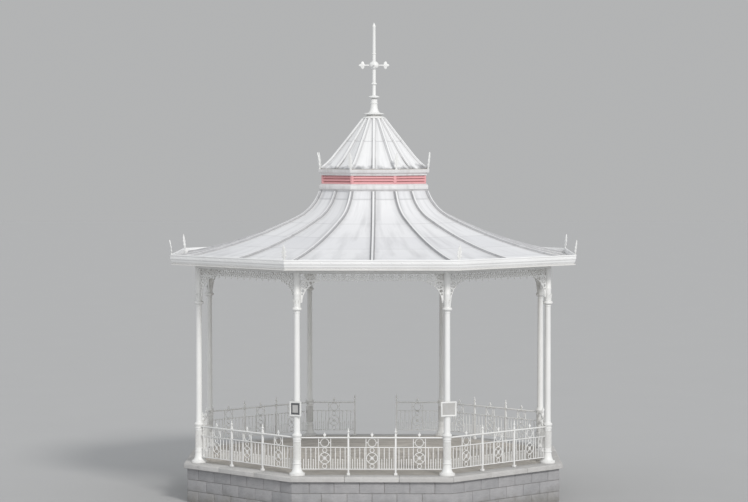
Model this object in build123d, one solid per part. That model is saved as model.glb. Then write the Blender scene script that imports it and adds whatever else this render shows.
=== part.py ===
from build123d import *

import os
from dataclasses import dataclass
from math import atan2, cos, degrees, radians, sin, tan

# Octagonal park bandstand: stone plinth, iron columns and railings, swept roof with a
# ventilating lantern, cap roof and finial. Millimetres, Z up, front bay towards -Y.
# The origin lies on the ground under the centre of the octagon.

# Plan
SIDES = 8
COLUMN_CIRCLE = 4100.0
COLUMN_LINE_WIDTH = 140.0

# Plinth and stage
DECK_HEIGHT = 850.0
PLINTH_OVERHANG = 250.0
PLINTH_THICKNESS = 450.0
COPING_HEIGHT = 110.0
COPING_PROJECTION = 75.0
COPING_BEARING = 345.0
COPING_NOSING = 30.0
FLOOR_THICKNESS = 40.0
JOIST_WIDTH = 100.0
JOIST_DEPTH = 150.0
PIER_APOTHEM = 300.0

# Entrance steps
STEP_COUNT = 5
STEP_GOING = 300.0
STEP_WIDTH = 1500.0
ENTRANCE_BAY = 5

# Columns, heights above the deck
FOOT_RADIUS = 165.0
FOOT_HEIGHT = 45.0
FOOT_FLARE = 190.0
PEDESTAL_RADIUS = 84.0
PEDESTAL_HEIGHT = 820.0
CAP_RING_RADIUS = 102.0
CAP_RING_HEIGHT = 40.0
SHAFT_BOTTOM_RADIUS = 69.0
SHAFT_TOP_RADIUS = 60.0
ANNULET_RADIUS = 106.0
ANNULET_HEIGHT = 3487.0
ANNULET_THICKNESS = 64.0
NECK_RADIUS = 74.0

# Eaves, heights above the deck
BEAM_BOTTOM = 4236.0
BEAM_DEPTH = 100.0
EAVES_OVERHANG = 600.0
SOFFIT_THICKNESS = 20.0
SOFFIT_SETBACK = 20.0
GUTTER_HEIGHT = 200.0
GUTTER_WIDTH = 148.0
GUTTER_WALL = 22.0
GUTTER_BACK_CLEARANCE = 6.0
GUTTER_LIP = 16.0
GUTTER_FILLET_HEIGHT = 90.0

# Frieze of rings between bars, with drops below
FRIEZE_THICKNESS = 20.0
FRIEZE_MODULE = 200.0
FRIEZE_RAIL = 18.0
FRIEZE_OPENING = 124.0
FRIEZE_BAR = 14.0
FRIEZE_DROP = 44.0
RING_WALL = 15.0
WELD = 3.0

# Spandrel brackets
BRACKET_WIDTH = 380.0
BRACKET_HEIGHT = 460.0
BRACKET_THICKNESS = 24.0
BRACKET_RIM = 30.0
BRACKET_WEB = 17.0

# Railings, heights above the deck
RAIL_TOP = 805.0
HANDRAIL_HEIGHT = 30.0
HANDRAIL_WIDTH = 56.0
MIDDLE_RAIL = 587.0
BOTTOM_RAIL = 130.0
FLAT_RAIL_HEIGHT = 16.0
FLAT_RAIL_WIDTH = 36.0
BAR_SIZE = 15.0
BAR_SPACING = 104.0
DOG_BAR_TOP = 350.0
DOG_BAR_POINT = 40.0
RAILING_PANELS = 3
STANDARD_SIZE = 36.0
STANDARD_RISE = 200.0
STANDARD_TIP = 70.0
STANDARD_POINT = 4.0
ORNAMENT_WIDTH = 268.0
ORNAMENT_THICKNESS = 18.0
FLEURON_WIDTH = 64.0
FLEURON_HEIGHT = 100.0

# Main roof: section line from the lantern over the knee to the eaves
LANTERN_APOTHEM = 1165.0
ROOF_SEAT = 75.0
ROOF_RISE = 1479.0
ROOF_TOP_SLOPE = 72.5
KNEE_RUN = 495.0
KNEE_RISE = 889.0
ROOF_EDGE_SETBACK = 103.0
ROOF_THICKNESS = 40.0
MITRE_GAP = 6.0
RAFTER_DEPTH = 130.0
RAFTER_WIDTH = 80.0
ROLL_WIDTH = 46.0
ROLL_HEIGHT = 46.0
ROLL_FLANGE_WIDTH = 120.0
ROLL_FLANGE_THICKNESS = 9.0

# Lantern
SILL_HEIGHT = 155.0
SILL_PROJECTION = 36.0
SILL_FALL = 27.0
LANTERN_WALL = 70.0
LOUVRE_HEIGHT = 187.0
LOUVRE_COUNT = 3
LOUVRE_THICKNESS = 14.0
LOUVRE_DEPTH = 35.0
LOUVRE_SETBACK = 10.0
CORNICE_HEIGHT = 133.0
CORNICE_FASCIA = 66.0
CORNICE_PROJECTION = 62.0

# Cap roof
CAP_FOOT_SLOPE = 40.0
CAP_EDGE_SETBACK = 57.0
CAP_EDGE_RISE = 12.0
CAP_RISE = 1122.0
CAP_TOP_APOTHEM = 230.0
CAP_KNEE_SHARE = 0.7
CAP_KNEE_DIP = 1.0
CAP_THICKNESS = 30.0
CAP_ROLL_WIDTH = 40.0
CAP_ROLL_HEIGHT = 32.0
CAP_FLANGE_WIDTH = 84.0
CAP_FLANGE_THICKNESS = 8.0

# Finial, heights above the top of the cap roof
FINIAL_FLANGE = 12.0
FINIAL_FLANGE_HEIGHT = 20.0
COLLAR_RADIUS = 227.0
COLLAR_HEIGHT = 101.0
COLLAR_THICKNESS = 44.0
COLLAR_NECK = 150.0
NECK_FOOT = 320.0
NECK_TOP = 440.0
SPIRE_NECK_RADIUS = 76.0
KNOP_RADIUS = 126.0
KNOP_HEIGHT = 475.0
KNOP_THICKNESS = 60.0
BEAD_RADIUS = 65.0
BEAD_HEIGHT = 769.0
BEAD_THICKNESS = 44.0
BOSS_RADIUS = 108.0
BOSS_THICKNESS = 176.0
POLE_RADIUS = 40.0
POLE_TIP = 2130.0
POLE_POINT = 70.0
POINT_RADIUS = 4.0
ARM_HEIGHT = 1180.0
ARM_REACH = 345.0
ARM_SIZE = 34.0
ARM_END = 176.0
ARM_END_LENGTH = 130.0
ARM_END_SHOULDER = 0.4

# Crests
CREST_WIDTH = 110.0
CREST_HEIGHT = 320.0
CREST_THICKNESS = 26.0
CREST_FOOT = 40.0
CREST_LEAN = 7.0
CREST_SLIM = 0.55
CREST_BELLY = 0.42
CREST_SHOULDER = 0.7
CAP_CREST_HEIGHT = 380.0

# Programme boards
LEFT_BOARD_WIDTH = 262.0
RIGHT_BOARD_WIDTH = 350.0
BOARD_HEIGHT = 310.0
BOARD_THICKNESS = 25.0
BOARD_CENTRE = 1400.0
BOARD_BORDER = 28.0
BOARD_RECESS = 8.0
CLIP_HEIGHT = 30.0
CLIP_WALL = 10.0
SEAT = 0.3

# Sizes that follow
SECTOR = 360.0 / SIDES
HALF_SECTOR = SECTOR / 2
FRONT = -90.0
COLUMN_APOTHEM = COLUMN_CIRCLE * cos(radians(HALF_SECTOR))
BAY_HALF = COLUMN_CIRCLE * sin(radians(HALF_SECTOR))
PLINTH_APOTHEM = COLUMN_APOTHEM + PLINTH_OVERHANG
COPING_APOTHEM = PLINTH_APOTHEM + COPING_PROJECTION
FLOOR_APOTHEM = PLINTH_APOTHEM - COPING_BEARING
DECK = DECK_HEIGHT
JOIST_TOP = DECK - FLOOR_THICKNESS
BEAM_LOW = DECK + BEAM_BOTTOM
BEAM_TOP = BEAM_LOW + BEAM_DEPTH
BEAM_INNER = COLUMN_APOTHEM - COLUMN_LINE_WIDTH / 2
BEAM_OUTER = COLUMN_APOTHEM + COLUMN_LINE_WIDTH / 2
FRIEZE_LOW = BEAM_LOW - 2 * FRIEZE_RAIL - FRIEZE_OPENING
GUTTER_APOTHEM = COLUMN_APOTHEM + EAVES_OVERHANG
GUTTER_BACK = GUTTER_APOTHEM - GUTTER_WIDTH
ROOF_EDGE = GUTTER_APOTHEM - ROOF_EDGE_SETBACK
EAVES = BEAM_TOP + ROOF_SEAT
ROOF_TOP = EAVES + ROOF_RISE
SILL_TOP = ROOF_TOP + SILL_HEIGHT
LOUVRE_TOP = SILL_TOP + LOUVRE_HEIGHT
CORNICE_TOP = LOUVRE_TOP + CORNICE_HEIGHT
CORNICE_APOTHEM = LANTERN_APOTHEM + CORNICE_PROJECTION
CAP_EDGE = CORNICE_APOTHEM - CAP_EDGE_SETBACK
CAP_TOP = CORNICE_TOP + CAP_RISE
REACH = 2 * COLUMN_CIRCLE
CORNERS = range(1, SIDES + 1)


def face_angle(bay):
    """Direction that a bay of the octagon faces, bay 1 at the front."""
    return FRONT + SECTOR * (bay - 1)


def corner_angle(corner):
    """Direction of a corner of the octagon, corner 1 on the left of bay 1."""
    return FRONT - HALF_SECTOR + SECTOR * (corner - 1)


def turn(shape, angle):
    return Rot(0, 0, angle) * shape


def octagon(apothem):
    """A plan octagon with its flat sides at the given distance from the centre."""
    corner = apothem / cos(radians(HALF_SECTOR))
    return RegularPolygon(corner, SIDES, major_radius=True, rotation=HALF_SECTOR)


def slab(apothem, bottom, top, inner=0.0):
    """An octagonal slab, or a ring if an inner distance is given."""
    plan = octagon(apothem)
    if inner > 0:
        plan -= octagon(inner)
    return extrude(Pos(0, 0, bottom) * plan, amount=top - bottom)


def wedge(gap=0.0):
    """The upright sector of one side of the octagon, about +X."""
    side = REACH * tan(radians(HALF_SECTOR))
    plan = make_face(Polyline((0, 0), (REACH, -side), (REACH, side), (0, 0)))
    shift = gap / 2 / sin(radians(HALF_SECTOR))
    return extrude(Pos(shift, 0, -REACH) * plan, amount=3 * REACH)


def side_run(section, gap=0.0):
    """A section drawn as (distance from centre, height), run along one side and mitred."""
    run = extrude(Plane.XZ * section, amount=REACH, both=True)
    return run & wedge(gap)


def ring(section):
    """A section carried round all sides with mitred corners."""
    side = side_run(section)
    return Part() + [turn(side, SECTOR * index) for index in range(SIDES)]


def polygon(*points):
    return make_face(Polyline(*points, points[0]))


def around(shape, angles):
    """Copies of a shape made about +X, turned to each angle, as one part of many solids."""
    return Compound([solid for angle in angles for solid in turn(shape, angle).solids()])


def at_faces(shape):
    return around(shape, [face_angle(bay) for bay in CORNERS])


def at_corners(shape):
    return around(shape, [corner_angle(corner) for corner in CORNERS])


def box_between(low, high):
    size = [b - a for a, b in zip(low, high)]
    return Pos(*low) * Box(*size, align=(Align.MIN, Align.MIN, Align.MIN))


@dataclass(frozen=True)
class RoofLine:
    """A concave section line: an arc from the top to the knee, and one on to the foot."""

    top: tuple
    knee: tuple
    foot: tuple
    top_slope: float

    def slopes(self):
        """Downward slopes in degrees at the top, the knee and the foot."""
        upper = self.chord(self.top, self.knee)
        lower = self.chord(self.knee, self.foot)
        knee_slope = 2 * upper - self.top_slope
        return self.top_slope, knee_slope, 2 * lower - knee_slope

    def chord(self, start, end):
        return degrees(atan2(start[1] - end[1], end[0] - start[0]))

    def points(self, shift):
        """The three points, moved outward along the line's normal by shift."""
        moved = []
        for point, slope in zip((self.top, self.knee, self.foot), self.slopes()):
            x = point[0] + shift * sin(radians(slope))
            z = point[1] + shift * cos(radians(slope))
            moved.append(Vector(x, z))
        return moved

    def band(self, low, high, lead=0.0):
        """The area between two shifts of the line, prolonged at the top by lead."""
        slope = radians(self.top_slope)
        down = Vector(cos(slope), -sin(slope))
        edges = []
        ends = []
        for shift in (low, high):
            top, knee, foot = self.points(shift)
            upper = TangentArc(top, knee, tangent=down)
            lower = TangentArc(knee, foot, tangent=upper % 1)
            start = top - down * lead
            if lead > 0:
                edges.append(Line(start, top))
            edges += [upper, lower]
            ends.append((start, foot))
        edges.append(Line(ends[0][0], ends[1][0]))
        edges.append(Line(ends[0][1], ends[1][1]))
        return make_face(edges)


def clip(section, inner, outer, bottom, top):
    """The part of a section that lies in a rectangle."""
    frame = polygon((inner, bottom), (outer, bottom), (outer, top), (inner, top))
    return section & frame


def rib_at_corner(section, width):
    """A rib over a hip: the sections of both sides, cut to a strip about the hip."""
    run = turn(extrude(Plane.XZ * section, amount=REACH / 4, both=True), HALF_SECTOR)
    strip = box_between((0, 0, -REACH), (REACH, width / 2, 2 * REACH))
    half = run & strip
    return half + mirror(half, about=Plane.XZ)


ROOF = RoofLine(
    top=(LANTERN_APOTHEM, ROOF_TOP),
    knee=(LANTERN_APOTHEM + KNEE_RUN, EAVES + KNEE_RISE),
    foot=(GUTTER_APOTHEM, EAVES),
    top_slope=ROOF_TOP_SLOPE,
)


def cap_line():
    """The cap roof's line: almost straight, with a slight flare at the foot."""
    top = (CAP_TOP_APOTHEM, CAP_TOP)
    foot = (CAP_EDGE, CORNICE_TOP + CAP_EDGE_RISE)
    chord = degrees(atan2(top[1] - foot[1], foot[0] - top[0]))
    top_slope = chord + (chord - CAP_FOOT_SLOPE) / 3
    run = (foot[0] - top[0]) * CAP_KNEE_SHARE
    knee = (top[0] + run, top[1] - run * tan(radians(top_slope - CAP_KNEE_DIP)))
    return RoofLine(top=top, knee=knee, foot=foot, top_slope=top_slope)


CAP = cap_line()


def plinth_wall():
    return slab(PLINTH_APOTHEM, 0, DECK - COPING_HEIGHT, PLINTH_APOTHEM - PLINTH_THICKNESS)


def plinth_coping():
    low, high = DECK - COPING_HEIGHT, DECK
    section = polygon(
        (FLOOR_APOTHEM, low), (COPING_APOTHEM, low), (COPING_APOTHEM, high), (FLOOR_APOTHEM, high)
    )
    nose = section.vertices().group_by(Axis.X)[-1].sort_by(Axis.Y)[-1]
    return ring(fillet(nose, COPING_NOSING))


def stage_floor():
    return slab(FLOOR_APOTHEM, JOIST_TOP, DECK)


def floor_joists():
    """Beams that cross over the centre pier and end at the plinth wall."""
    inner = PLINTH_APOTHEM - PLINTH_THICKNESS
    beam = Pos(0, 0, JOIST_TOP - JOIST_DEPTH / 2) * Box(2 * inner, JOIST_WIDTH, JOIST_DEPTH)
    return Part() + [turn(beam, SECTOR * index) for index in range(SIDES // 2)]


def centre_pier():
    return slab(PIER_APOTHEM, 0, JOIST_TOP - JOIST_DEPTH)


def entrance_steps():
    rise = DECK / STEP_COUNT
    points = [(PLINTH_APOTHEM, 0)]
    for step in range(1, STEP_COUNT):
        nosing = PLINTH_APOTHEM + STEP_GOING * (STEP_COUNT - step)
        points.append((nosing, rise * (step - 1)))
        points.append((nosing, rise * step))
    points.append((PLINTH_APOTHEM, rise * (STEP_COUNT - 1)))
    flight = extrude(Plane.XZ * polygon(*points), amount=STEP_WIDTH / 2, both=True)
    return turn(flight, face_angle(ENTRANCE_BAY))


def turned(edges, top, bottom):
    """A solid turned about Z from outline edges drawn as (radius, height)."""
    first, last = edges[0] @ 0, edges[-1] @ 1
    outline = edges + [Line((0, bottom), first), Line(last, (0, top))]
    section = make_face(outline + [Line((0, top), (0, bottom))])
    return revolve(Plane.XZ * section, Axis.Z)


def shaft_radius(height):
    """Radius of the tapered shaft at a height above the deck."""
    bottom = PEDESTAL_HEIGHT + 2 * CAP_RING_HEIGHT
    top = ANNULET_HEIGHT - ANNULET_THICKNESS / 2
    share = (height - bottom) / (top - bottom)
    return SHAFT_BOTTOM_RADIUS + share * (SHAFT_TOP_RADIUS - SHAFT_BOTTOM_RADIUS)


def bead(inner, outer, middle, thickness):
    """Outline of a half-round ring on a turned piece, from below to above."""
    low, high = middle - thickness / 2, middle + thickness / 2
    return [ThreePointArc((inner, low), (outer, middle), (inner, high))]


def foot_radius(height):
    """Radius of the flared column foot at a height above the deck."""
    top = FOOT_HEIGHT + FOOT_FLARE
    run = FOOT_RADIUS - PEDESTAL_RADIUS
    curve = (run**2 + FOOT_FLARE**2) / (2 * run)
    drop = min(max(top - height, 0), FOOT_FLARE)
    return PEDESTAL_RADIUS + curve - (curve**2 - drop**2) ** 0.5


def column(corner):
    foot_top = DECK + FOOT_HEIGHT
    flare_top = foot_top + FOOT_FLARE
    pedestal_top = DECK + PEDESTAL_HEIGHT
    cap_top = pedestal_top + CAP_RING_HEIGHT
    shaft_low = cap_top + CAP_RING_HEIGHT
    annulet = DECK + ANNULET_HEIGHT
    annulet_low = annulet - ANNULET_THICKNESS / 2
    annulet_high = annulet + ANNULET_THICKNESS / 2
    edges = [
        Line((FOOT_RADIUS, DECK), (FOOT_RADIUS, foot_top)),
        TangentArc((PEDESTAL_RADIUS, flare_top), (FOOT_RADIUS, foot_top), tangent=(0, -1)),
        Line((PEDESTAL_RADIUS, flare_top), (PEDESTAL_RADIUS, pedestal_top)),
        Line((PEDESTAL_RADIUS, pedestal_top), (CAP_RING_RADIUS, pedestal_top)),
        Line((CAP_RING_RADIUS, pedestal_top), (CAP_RING_RADIUS, cap_top)),
        Line((CAP_RING_RADIUS, cap_top), (SHAFT_BOTTOM_RADIUS, shaft_low)),
        Line((SHAFT_BOTTOM_RADIUS, shaft_low), (SHAFT_TOP_RADIUS, annulet_low)),
        Line((SHAFT_TOP_RADIUS, annulet_low), (NECK_RADIUS, annulet_low)),
        *bead(NECK_RADIUS, ANNULET_RADIUS, annulet, ANNULET_THICKNESS),
        Line((NECK_RADIUS, annulet_high), (NECK_RADIUS, BEAM_LOW)),
    ]
    post = turned(edges, BEAM_LOW, DECK)
    return turn(Pos(COLUMN_CIRCLE, 0, 0) * post, corner_angle(corner))


def at_bay(shape, bay):
    """Place a shape drawn along X, with its face to -Y, on the column line of a bay."""
    return turn(Pos(COLUMN_APOTHEM, 0, 0) * turn(shape, 90), face_angle(bay))


def ring_plate(x, z, radius, wall):
    return Pos(x, z) * (Circle(radius) - Circle(radius - wall))


def bar_plate(x, z, width, height):
    return Pos(x, z) * Rectangle(width, height)


def upright(plate, thickness):
    return extrude(Plane.XZ * plate, amount=thickness / 2, both=True)


def frieze_plate():
    """Two rails joined by bars, with rings between them and drops clear of the brackets."""
    half = BAY_HALF - NECK_RADIUS
    count = round(2 * half / FRIEZE_MODULE)
    pitch = 2 * half / count
    opening_low = FRIEZE_LOW + FRIEZE_RAIL
    middle = opening_low + FRIEZE_OPENING / 2
    ring = FRIEZE_OPENING / 2 + WELD
    link = (pitch - FRIEZE_BAR) / 2 - ring
    plate = bar_plate(0, BEAM_LOW - FRIEZE_RAIL / 2, 2 * half, FRIEZE_RAIL)
    plate += bar_plate(0, FRIEZE_LOW + FRIEZE_RAIL / 2, 2 * half, FRIEZE_RAIL)
    pieces = []
    for index in range(count):
        x = -half + pitch * (index + 0.5)
        pieces.append(ring_plate(x, middle, ring, RING_WALL))
        for side in (-1, 1):
            reach = x + side * (ring + link / 2)
            pieces.append(bar_plate(reach, middle, link + 2 * WELD, FRIEZE_BAR))
    for index in range(1, count):
        x = -half + pitch * index
        pieces.append(bar_plate(x, middle, FRIEZE_BAR, FRIEZE_OPENING + 2 * WELD))
        if half - abs(x) > BRACKET_WIDTH + FRIEZE_BAR:
            low = FRIEZE_LOW + WELD
            left, right = x - FRIEZE_BAR, x + FRIEZE_BAR
            pieces.append(polygon((left, low), (x, low - FRIEZE_DROP), (right, low)))
    return upright(plate + pieces, FRIEZE_THICKNESS)


def bracket_curve():
    """Centre and radius of the bracket's lower edge, seen from its inner corner."""
    run, drop = BRACKET_WIDTH - BRACKET_RIM, BRACKET_HEIGHT - BRACKET_RIM
    radius = (run**2 + drop**2) / (2 * run)
    return BRACKET_RIM + radius, -BRACKET_HEIGHT, radius


def bracket_plate():
    """A pierced quarter spandrel; its inner corner lies at the origin."""
    centre_x, centre_z, radius = bracket_curve()
    outline = [
        Line((0, 0), (BRACKET_WIDTH, 0)),
        Line((BRACKET_WIDTH, 0), (BRACKET_WIDTH, -BRACKET_RIM)),
        Line((0, 0), (0, -BRACKET_HEIGHT)),
        Line((0, -BRACKET_HEIGHT), (BRACKET_RIM, -BRACKET_HEIGHT)),
        TangentArc(
            (BRACKET_RIM, -BRACKET_HEIGHT), (BRACKET_WIDTH, -BRACKET_RIM), tangent=(0, 1)
        ),
    ]
    plate = make_face(outline)
    corner = (centre_x**2 + centre_z**2) ** 0.5 - radius
    web = BRACKET_WEB
    main = (corner - web - web * 2**0.5) / (1 + 2**0.5)
    plate -= Pos(web + main, -web - main) * Circle(main)
    along = 2 * main + 2 * web
    for ease in (main / 2, 0.0):
        reach = along + ease
        side_low = centre_x - (radius**2 - (centre_z + reach) ** 2) ** 0.5
        small = (side_low - 2 * web) / 2
        plate -= Pos(web + small, -along - small) * Circle(small)
        under = -centre_z - (radius**2 - (centre_x - reach) ** 2) ** 0.5
        slim = (under - 2 * web) / 2
        plate -= Pos(along + slim, -web - slim) * Circle(slim)
        along += 2 * min(small, slim) + web
    return upright(plate, BRACKET_THICKNESS)


def spandrel_brackets():
    corner = Pos(NECK_RADIUS - BAY_HALF, 0, FRIEZE_LOW)
    left = corner * bracket_plate()
    right = mirror(left, about=Plane.YZ)
    solids = []
    for bay in CORNERS:
        solids += at_bay(left, bay).solids() + at_bay(right, bay).solids()
    return Compound(solids)


def rail(start, end, low, high, width):
    return box_between((start, -width / 2, low), (end, width / 2, high))


def bars(start, end, blocked):
    """Bars from rail to rail and pointed dog bars between them, clear of blocked spans."""
    low, high = DECK + BOTTOM_RAIL, DECK + MIDDLE_RAIL
    shoulder, point = DECK + DOG_BAR_TOP - DOG_BAR_POINT, DECK + DOG_BAR_TOP
    half = BAR_SIZE / 2
    bar = rail(-half, half, low, high, BAR_SIZE)
    dog = upright(
        polygon((-half, low), (half, low), (half, shoulder), (0, point), (-half, shoulder)),
        BAR_SIZE,
    )
    count = round((end - start) / BAR_SPACING)
    pitch = (end - start) / count
    placed = []
    for index in range(2 * count - 1):
        x = start + pitch * (index + 1) / 2
        if all(abs(x - centre) > room + half for centre, room in blocked):
            placed.append(Pos(x, 0, 0) * (bar if index % 2 else dog))
    return placed


def ornament():
    """A cast panel of rings between two stiles, from rail to rail, with a fleuron on top."""
    low = DECK + BOTTOM_RAIL + FLAT_RAIL_HEIGHT / 2
    middle = DECK + MIDDLE_RAIL - FLAT_RAIL_HEIGHT / 2
    upper = DECK + MIDDLE_RAIL + FLAT_RAIL_HEIGHT / 2
    top = DECK + RAIL_TOP - HANDRAIL_HEIGHT
    stile = ORNAMENT_WIDTH / 2 - BAR_SIZE / 2
    plate = bar_plate(-stile, (low + top) / 2, BAR_SIZE, top - low + 2 * WELD)
    plate += bar_plate(stile, (low + top) / 2, BAR_SIZE, top - low + 2 * WELD)
    centre = (low + middle) / 2
    large = stile - BAR_SIZE / 2 + WELD
    small = ((middle - low) / 2 - large) / 2 + WELD
    pieces = [ring_plate(0, centre, large, RING_WALL)]
    for side in (-1, 1):
        pieces.append(ring_plate(0, centre + side * (large + small - 2 * WELD), small, RING_WALL))
        pieces.append(Pos(0, centre) * Rot(0, 0, side * 45) * Rectangle(2 * large - RING_WALL, BAR_SIZE))
    band = (top - upper) / 2 + WELD
    pieces.append(ring_plate(0, (upper + top) / 2, band, RING_WALL))
    rest = stile - band
    for side in (-1, 1):
        reach = side * (band + rest / 2)
        pieces.append(bar_plate(reach, (upper + top) / 2, rest + 2 * WELD, BAR_SIZE))
    leaf = DECK + RAIL_TOP - WELD
    wide = FLEURON_WIDTH / 2
    pieces.append(
        polygon(
            (-wide / 2, leaf), (wide / 2, leaf), (wide, leaf + FLEURON_HEIGHT / 2),
            (0, leaf + FLEURON_HEIGHT), (-wide, leaf + FLEURON_HEIGHT / 2),
        )
    )
    return [upright(plate + pieces[:-1], ORNAMENT_THICKNESS), upright(pieces[-1], ORNAMENT_THICKNESS)]


def standard(x):
    """A square post from the deck to a point above the handrail."""
    half = STANDARD_SIZE / 2
    shoulder = DECK + RAIL_TOP + STANDARD_RISE - STANDARD_TIP
    post = box_between((x - half, -half, DECK), (x + half, half, shoulder))
    foot = Plane((x, 0, shoulder)) * Rectangle(STANDARD_SIZE, STANDARD_SIZE)
    point = Plane((x, 0, shoulder + STANDARD_TIP)) * Rectangle(STANDARD_POINT, STANDARD_POINT)
    return post + loft([foot, point])


def railing_between(spans):
    """Rails, bars, cast ornaments and standards over the given spans of a bay."""
    panel = 2 * (BAY_HALF - PEDESTAL_RADIUS) / RAILING_PANELS
    posts = [panel * (index - RAILING_PANELS / 2) for index in range(1, RAILING_PANELS)]
    centres = [panel * (index - (RAILING_PANELS - 1) / 2) for index in range(RAILING_PANELS)]
    blocked = [(x, ORNAMENT_WIDTH / 2) for x in centres] + [(x, STANDARD_SIZE / 2) for x in posts]
    low_ends = BAY_HALF - foot_radius(BOTTOM_RAIL - FLAT_RAIL_HEIGHT / 2) - SEAT
    frame = Part()
    for start, end in spans:
        frame += rail(start, end, DECK + RAIL_TOP - HANDRAIL_HEIGHT, DECK + RAIL_TOP, HANDRAIL_WIDTH)
        for height in (MIDDLE_RAIL, BOTTOM_RAIL):
            low = DECK + height - FLAT_RAIL_HEIGHT / 2
            reach = BAY_HALF - PEDESTAL_RADIUS if height == MIDDLE_RAIL else low_ends
            first, last = max(start, -reach), min(end, reach)
            frame += rail(first, last, low, low + FLAT_RAIL_HEIGHT, FLAT_RAIL_WIDTH)
        frame += bars(start, end, blocked)
        for x in centres:
            if start < x < end:
                frame += [Pos(x, 0, 0) * piece for piece in ornament()]
    return frame + [standard(x) for x in posts]


def railings():
    """The whole railing for a bay, and the parted one for the entrance bay."""
    half = BAY_HALF - PEDESTAL_RADIUS
    gate = half / RAILING_PANELS
    return railing_between([(-half, half)]), railing_between([(-half, -gate), (gate, half)])


def eaves_beam():
    return slab(BEAM_OUTER, BEAM_LOW, BEAM_TOP, BEAM_INNER)


def eaves_soffit():
    outer = GUTTER_APOTHEM - SOFFIT_SETBACK
    return slab(outer, BEAM_TOP - SOFFIT_THICKNESS, BEAM_TOP, BEAM_OUTER)


def eaves_gutter():
    """An open box gutter with a moulded face."""
    low, high = BEAM_TOP, BEAM_TOP + GUTTER_HEIGHT
    back_top = ROOF.points(-ROOF_THICKNESS)[2].Y - GUTTER_BACK_CLEARANCE
    face = GUTTER_APOTHEM - GUTTER_LIP
    heel = face - GUTTER_LIP
    cove = low + GUTTER_FILLET_HEIGHT
    inside, channel = face - GUTTER_WALL, GUTTER_BACK + GUTTER_WALL
    bed = low + GUTTER_WALL
    outline = [
        Line((GUTTER_BACK, low), (heel, low)),
        RadiusArc((heel, low), (face, cove), GUTTER_HEIGHT),
        Line((face, cove), (GUTTER_APOTHEM, cove + GUTTER_LIP)),
        Line((GUTTER_APOTHEM, cove + GUTTER_LIP), (GUTTER_APOTHEM, high)),
        Line((GUTTER_APOTHEM, high), (inside, high)),
        Line((inside, high), (inside, bed)),
        Line((inside, bed), (channel, bed)),
        Line((channel, bed), (channel, back_top)),
        Line((channel, back_top), (GUTTER_BACK, back_top)),
        Line((GUTTER_BACK, back_top), (GUTTER_BACK, low)),
    ]
    return ring(make_face(outline))


def main_roof():
    band = ROOF.band(-ROOF_THICKNESS, 0, lead=ROOF_THICKNESS)
    section = clip(band, 0, ROOF_EDGE, 0, ROOF_TOP)
    return at_faces(side_run(section, MITRE_GAP))


def rolls(line, low, high, edge, core, flange):
    """Rolls over the hips and the middle of each face: a core on a flat flange."""
    inner = line.top[0]
    middle, hip = Part(), Part()
    for width, height in (core, flange):
        section = clip(line.band(0, height, lead=height), inner, edge, low, high)
        middle += upright(section, width)
        hip += rib_at_corner(section, width)
    return Compound(at_corners(hip).solids() + at_faces(middle).solids())


def roof_rolls():
    core, flange = (ROLL_WIDTH, ROLL_HEIGHT), (ROLL_FLANGE_WIDTH, ROLL_FLANGE_THICKNESS)
    return rolls(ROOF, 0, ROOF_TOP, ROOF_EDGE, core, flange)


def roof_rafters():
    band = ROOF.band(-ROOF_THICKNESS - RAFTER_DEPTH, -ROOF_THICKNESS, lead=RAFTER_DEPTH)
    section = clip(band, 0, GUTTER_BACK, BEAM_TOP, ROOF_TOP)
    return at_corners(rib_at_corner(section, RAFTER_WIDTH))


def lantern_sill():
    low, high = ROOF_TOP, SILL_TOP
    outer = LANTERN_APOTHEM + SILL_PROJECTION
    inner = LANTERN_APOTHEM - LANTERN_WALL
    return ring(
        polygon((inner, low), (outer, low), (outer, high - SILL_FALL), (LANTERN_APOTHEM, high),
                (inner, high))
    )


def lantern_louvres():
    """Sloping blades round the lantern between corner posts."""
    outer = LANTERN_APOTHEM - LOUVRE_SETBACK
    inner = outer - LOUVRE_DEPTH
    pitch = LOUVRE_HEIGHT / LOUVRE_COUNT
    louvres = Part()
    for index in range(LOUVRE_COUNT):
        low = SILL_TOP + pitch * index
        high = low + pitch
        louvres += ring(
            polygon((outer, low), (outer, low + LOUVRE_THICKNESS), (inner, high),
                    (inner, high - LOUVRE_THICKNESS))
        )
    wall = ring(
        polygon((inner - LOUVRE_SETBACK, SILL_TOP), (outer, SILL_TOP), (outer, LOUVRE_TOP),
                (inner - LOUVRE_SETBACK, LOUVRE_TOP))
    )
    post = box_between((0, -LANTERN_WALL / 2, SILL_TOP), (REACH, LANTERN_WALL / 2, LOUVRE_TOP))
    for corner in CORNERS:
        louvres += wall & turn(post, corner_angle(corner))
    return louvres


def lantern_cornice():
    low, high = LOUVRE_TOP, CORNICE_TOP
    inner = LANTERN_APOTHEM - LANTERN_WALL
    fascia = high - CORNICE_FASCIA
    outline = [
        Line((inner, low), (LANTERN_APOTHEM, low)),
        RadiusArc((LANTERN_APOTHEM, low), (CORNICE_APOTHEM, fascia), CORNICE_HEIGHT),
        Line((CORNICE_APOTHEM, fascia), (CORNICE_APOTHEM, high)),
        Line((CORNICE_APOTHEM, high), (inner, high)),
        Line((inner, high), (inner, low)),
    ]
    return ring(make_face(outline))


def cap_roof():
    band = CAP.band(-CAP_THICKNESS, 0, lead=CAP_THICKNESS)
    section = clip(band, 0, CAP_EDGE, CORNICE_TOP, CAP_TOP)
    return at_faces(side_run(section, MITRE_GAP))


def cap_rolls():
    core, flange = (CAP_ROLL_WIDTH, CAP_ROLL_HEIGHT), (CAP_FLANGE_WIDTH, CAP_FLANGE_THICKNESS)
    return rolls(CAP, CORNICE_TOP, CAP_TOP, CAP_EDGE, core, flange)


def outline_through(points):
    """Straight outline edges through points."""
    return [Line(start, end) for start, end in zip(points, points[1:])]


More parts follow.
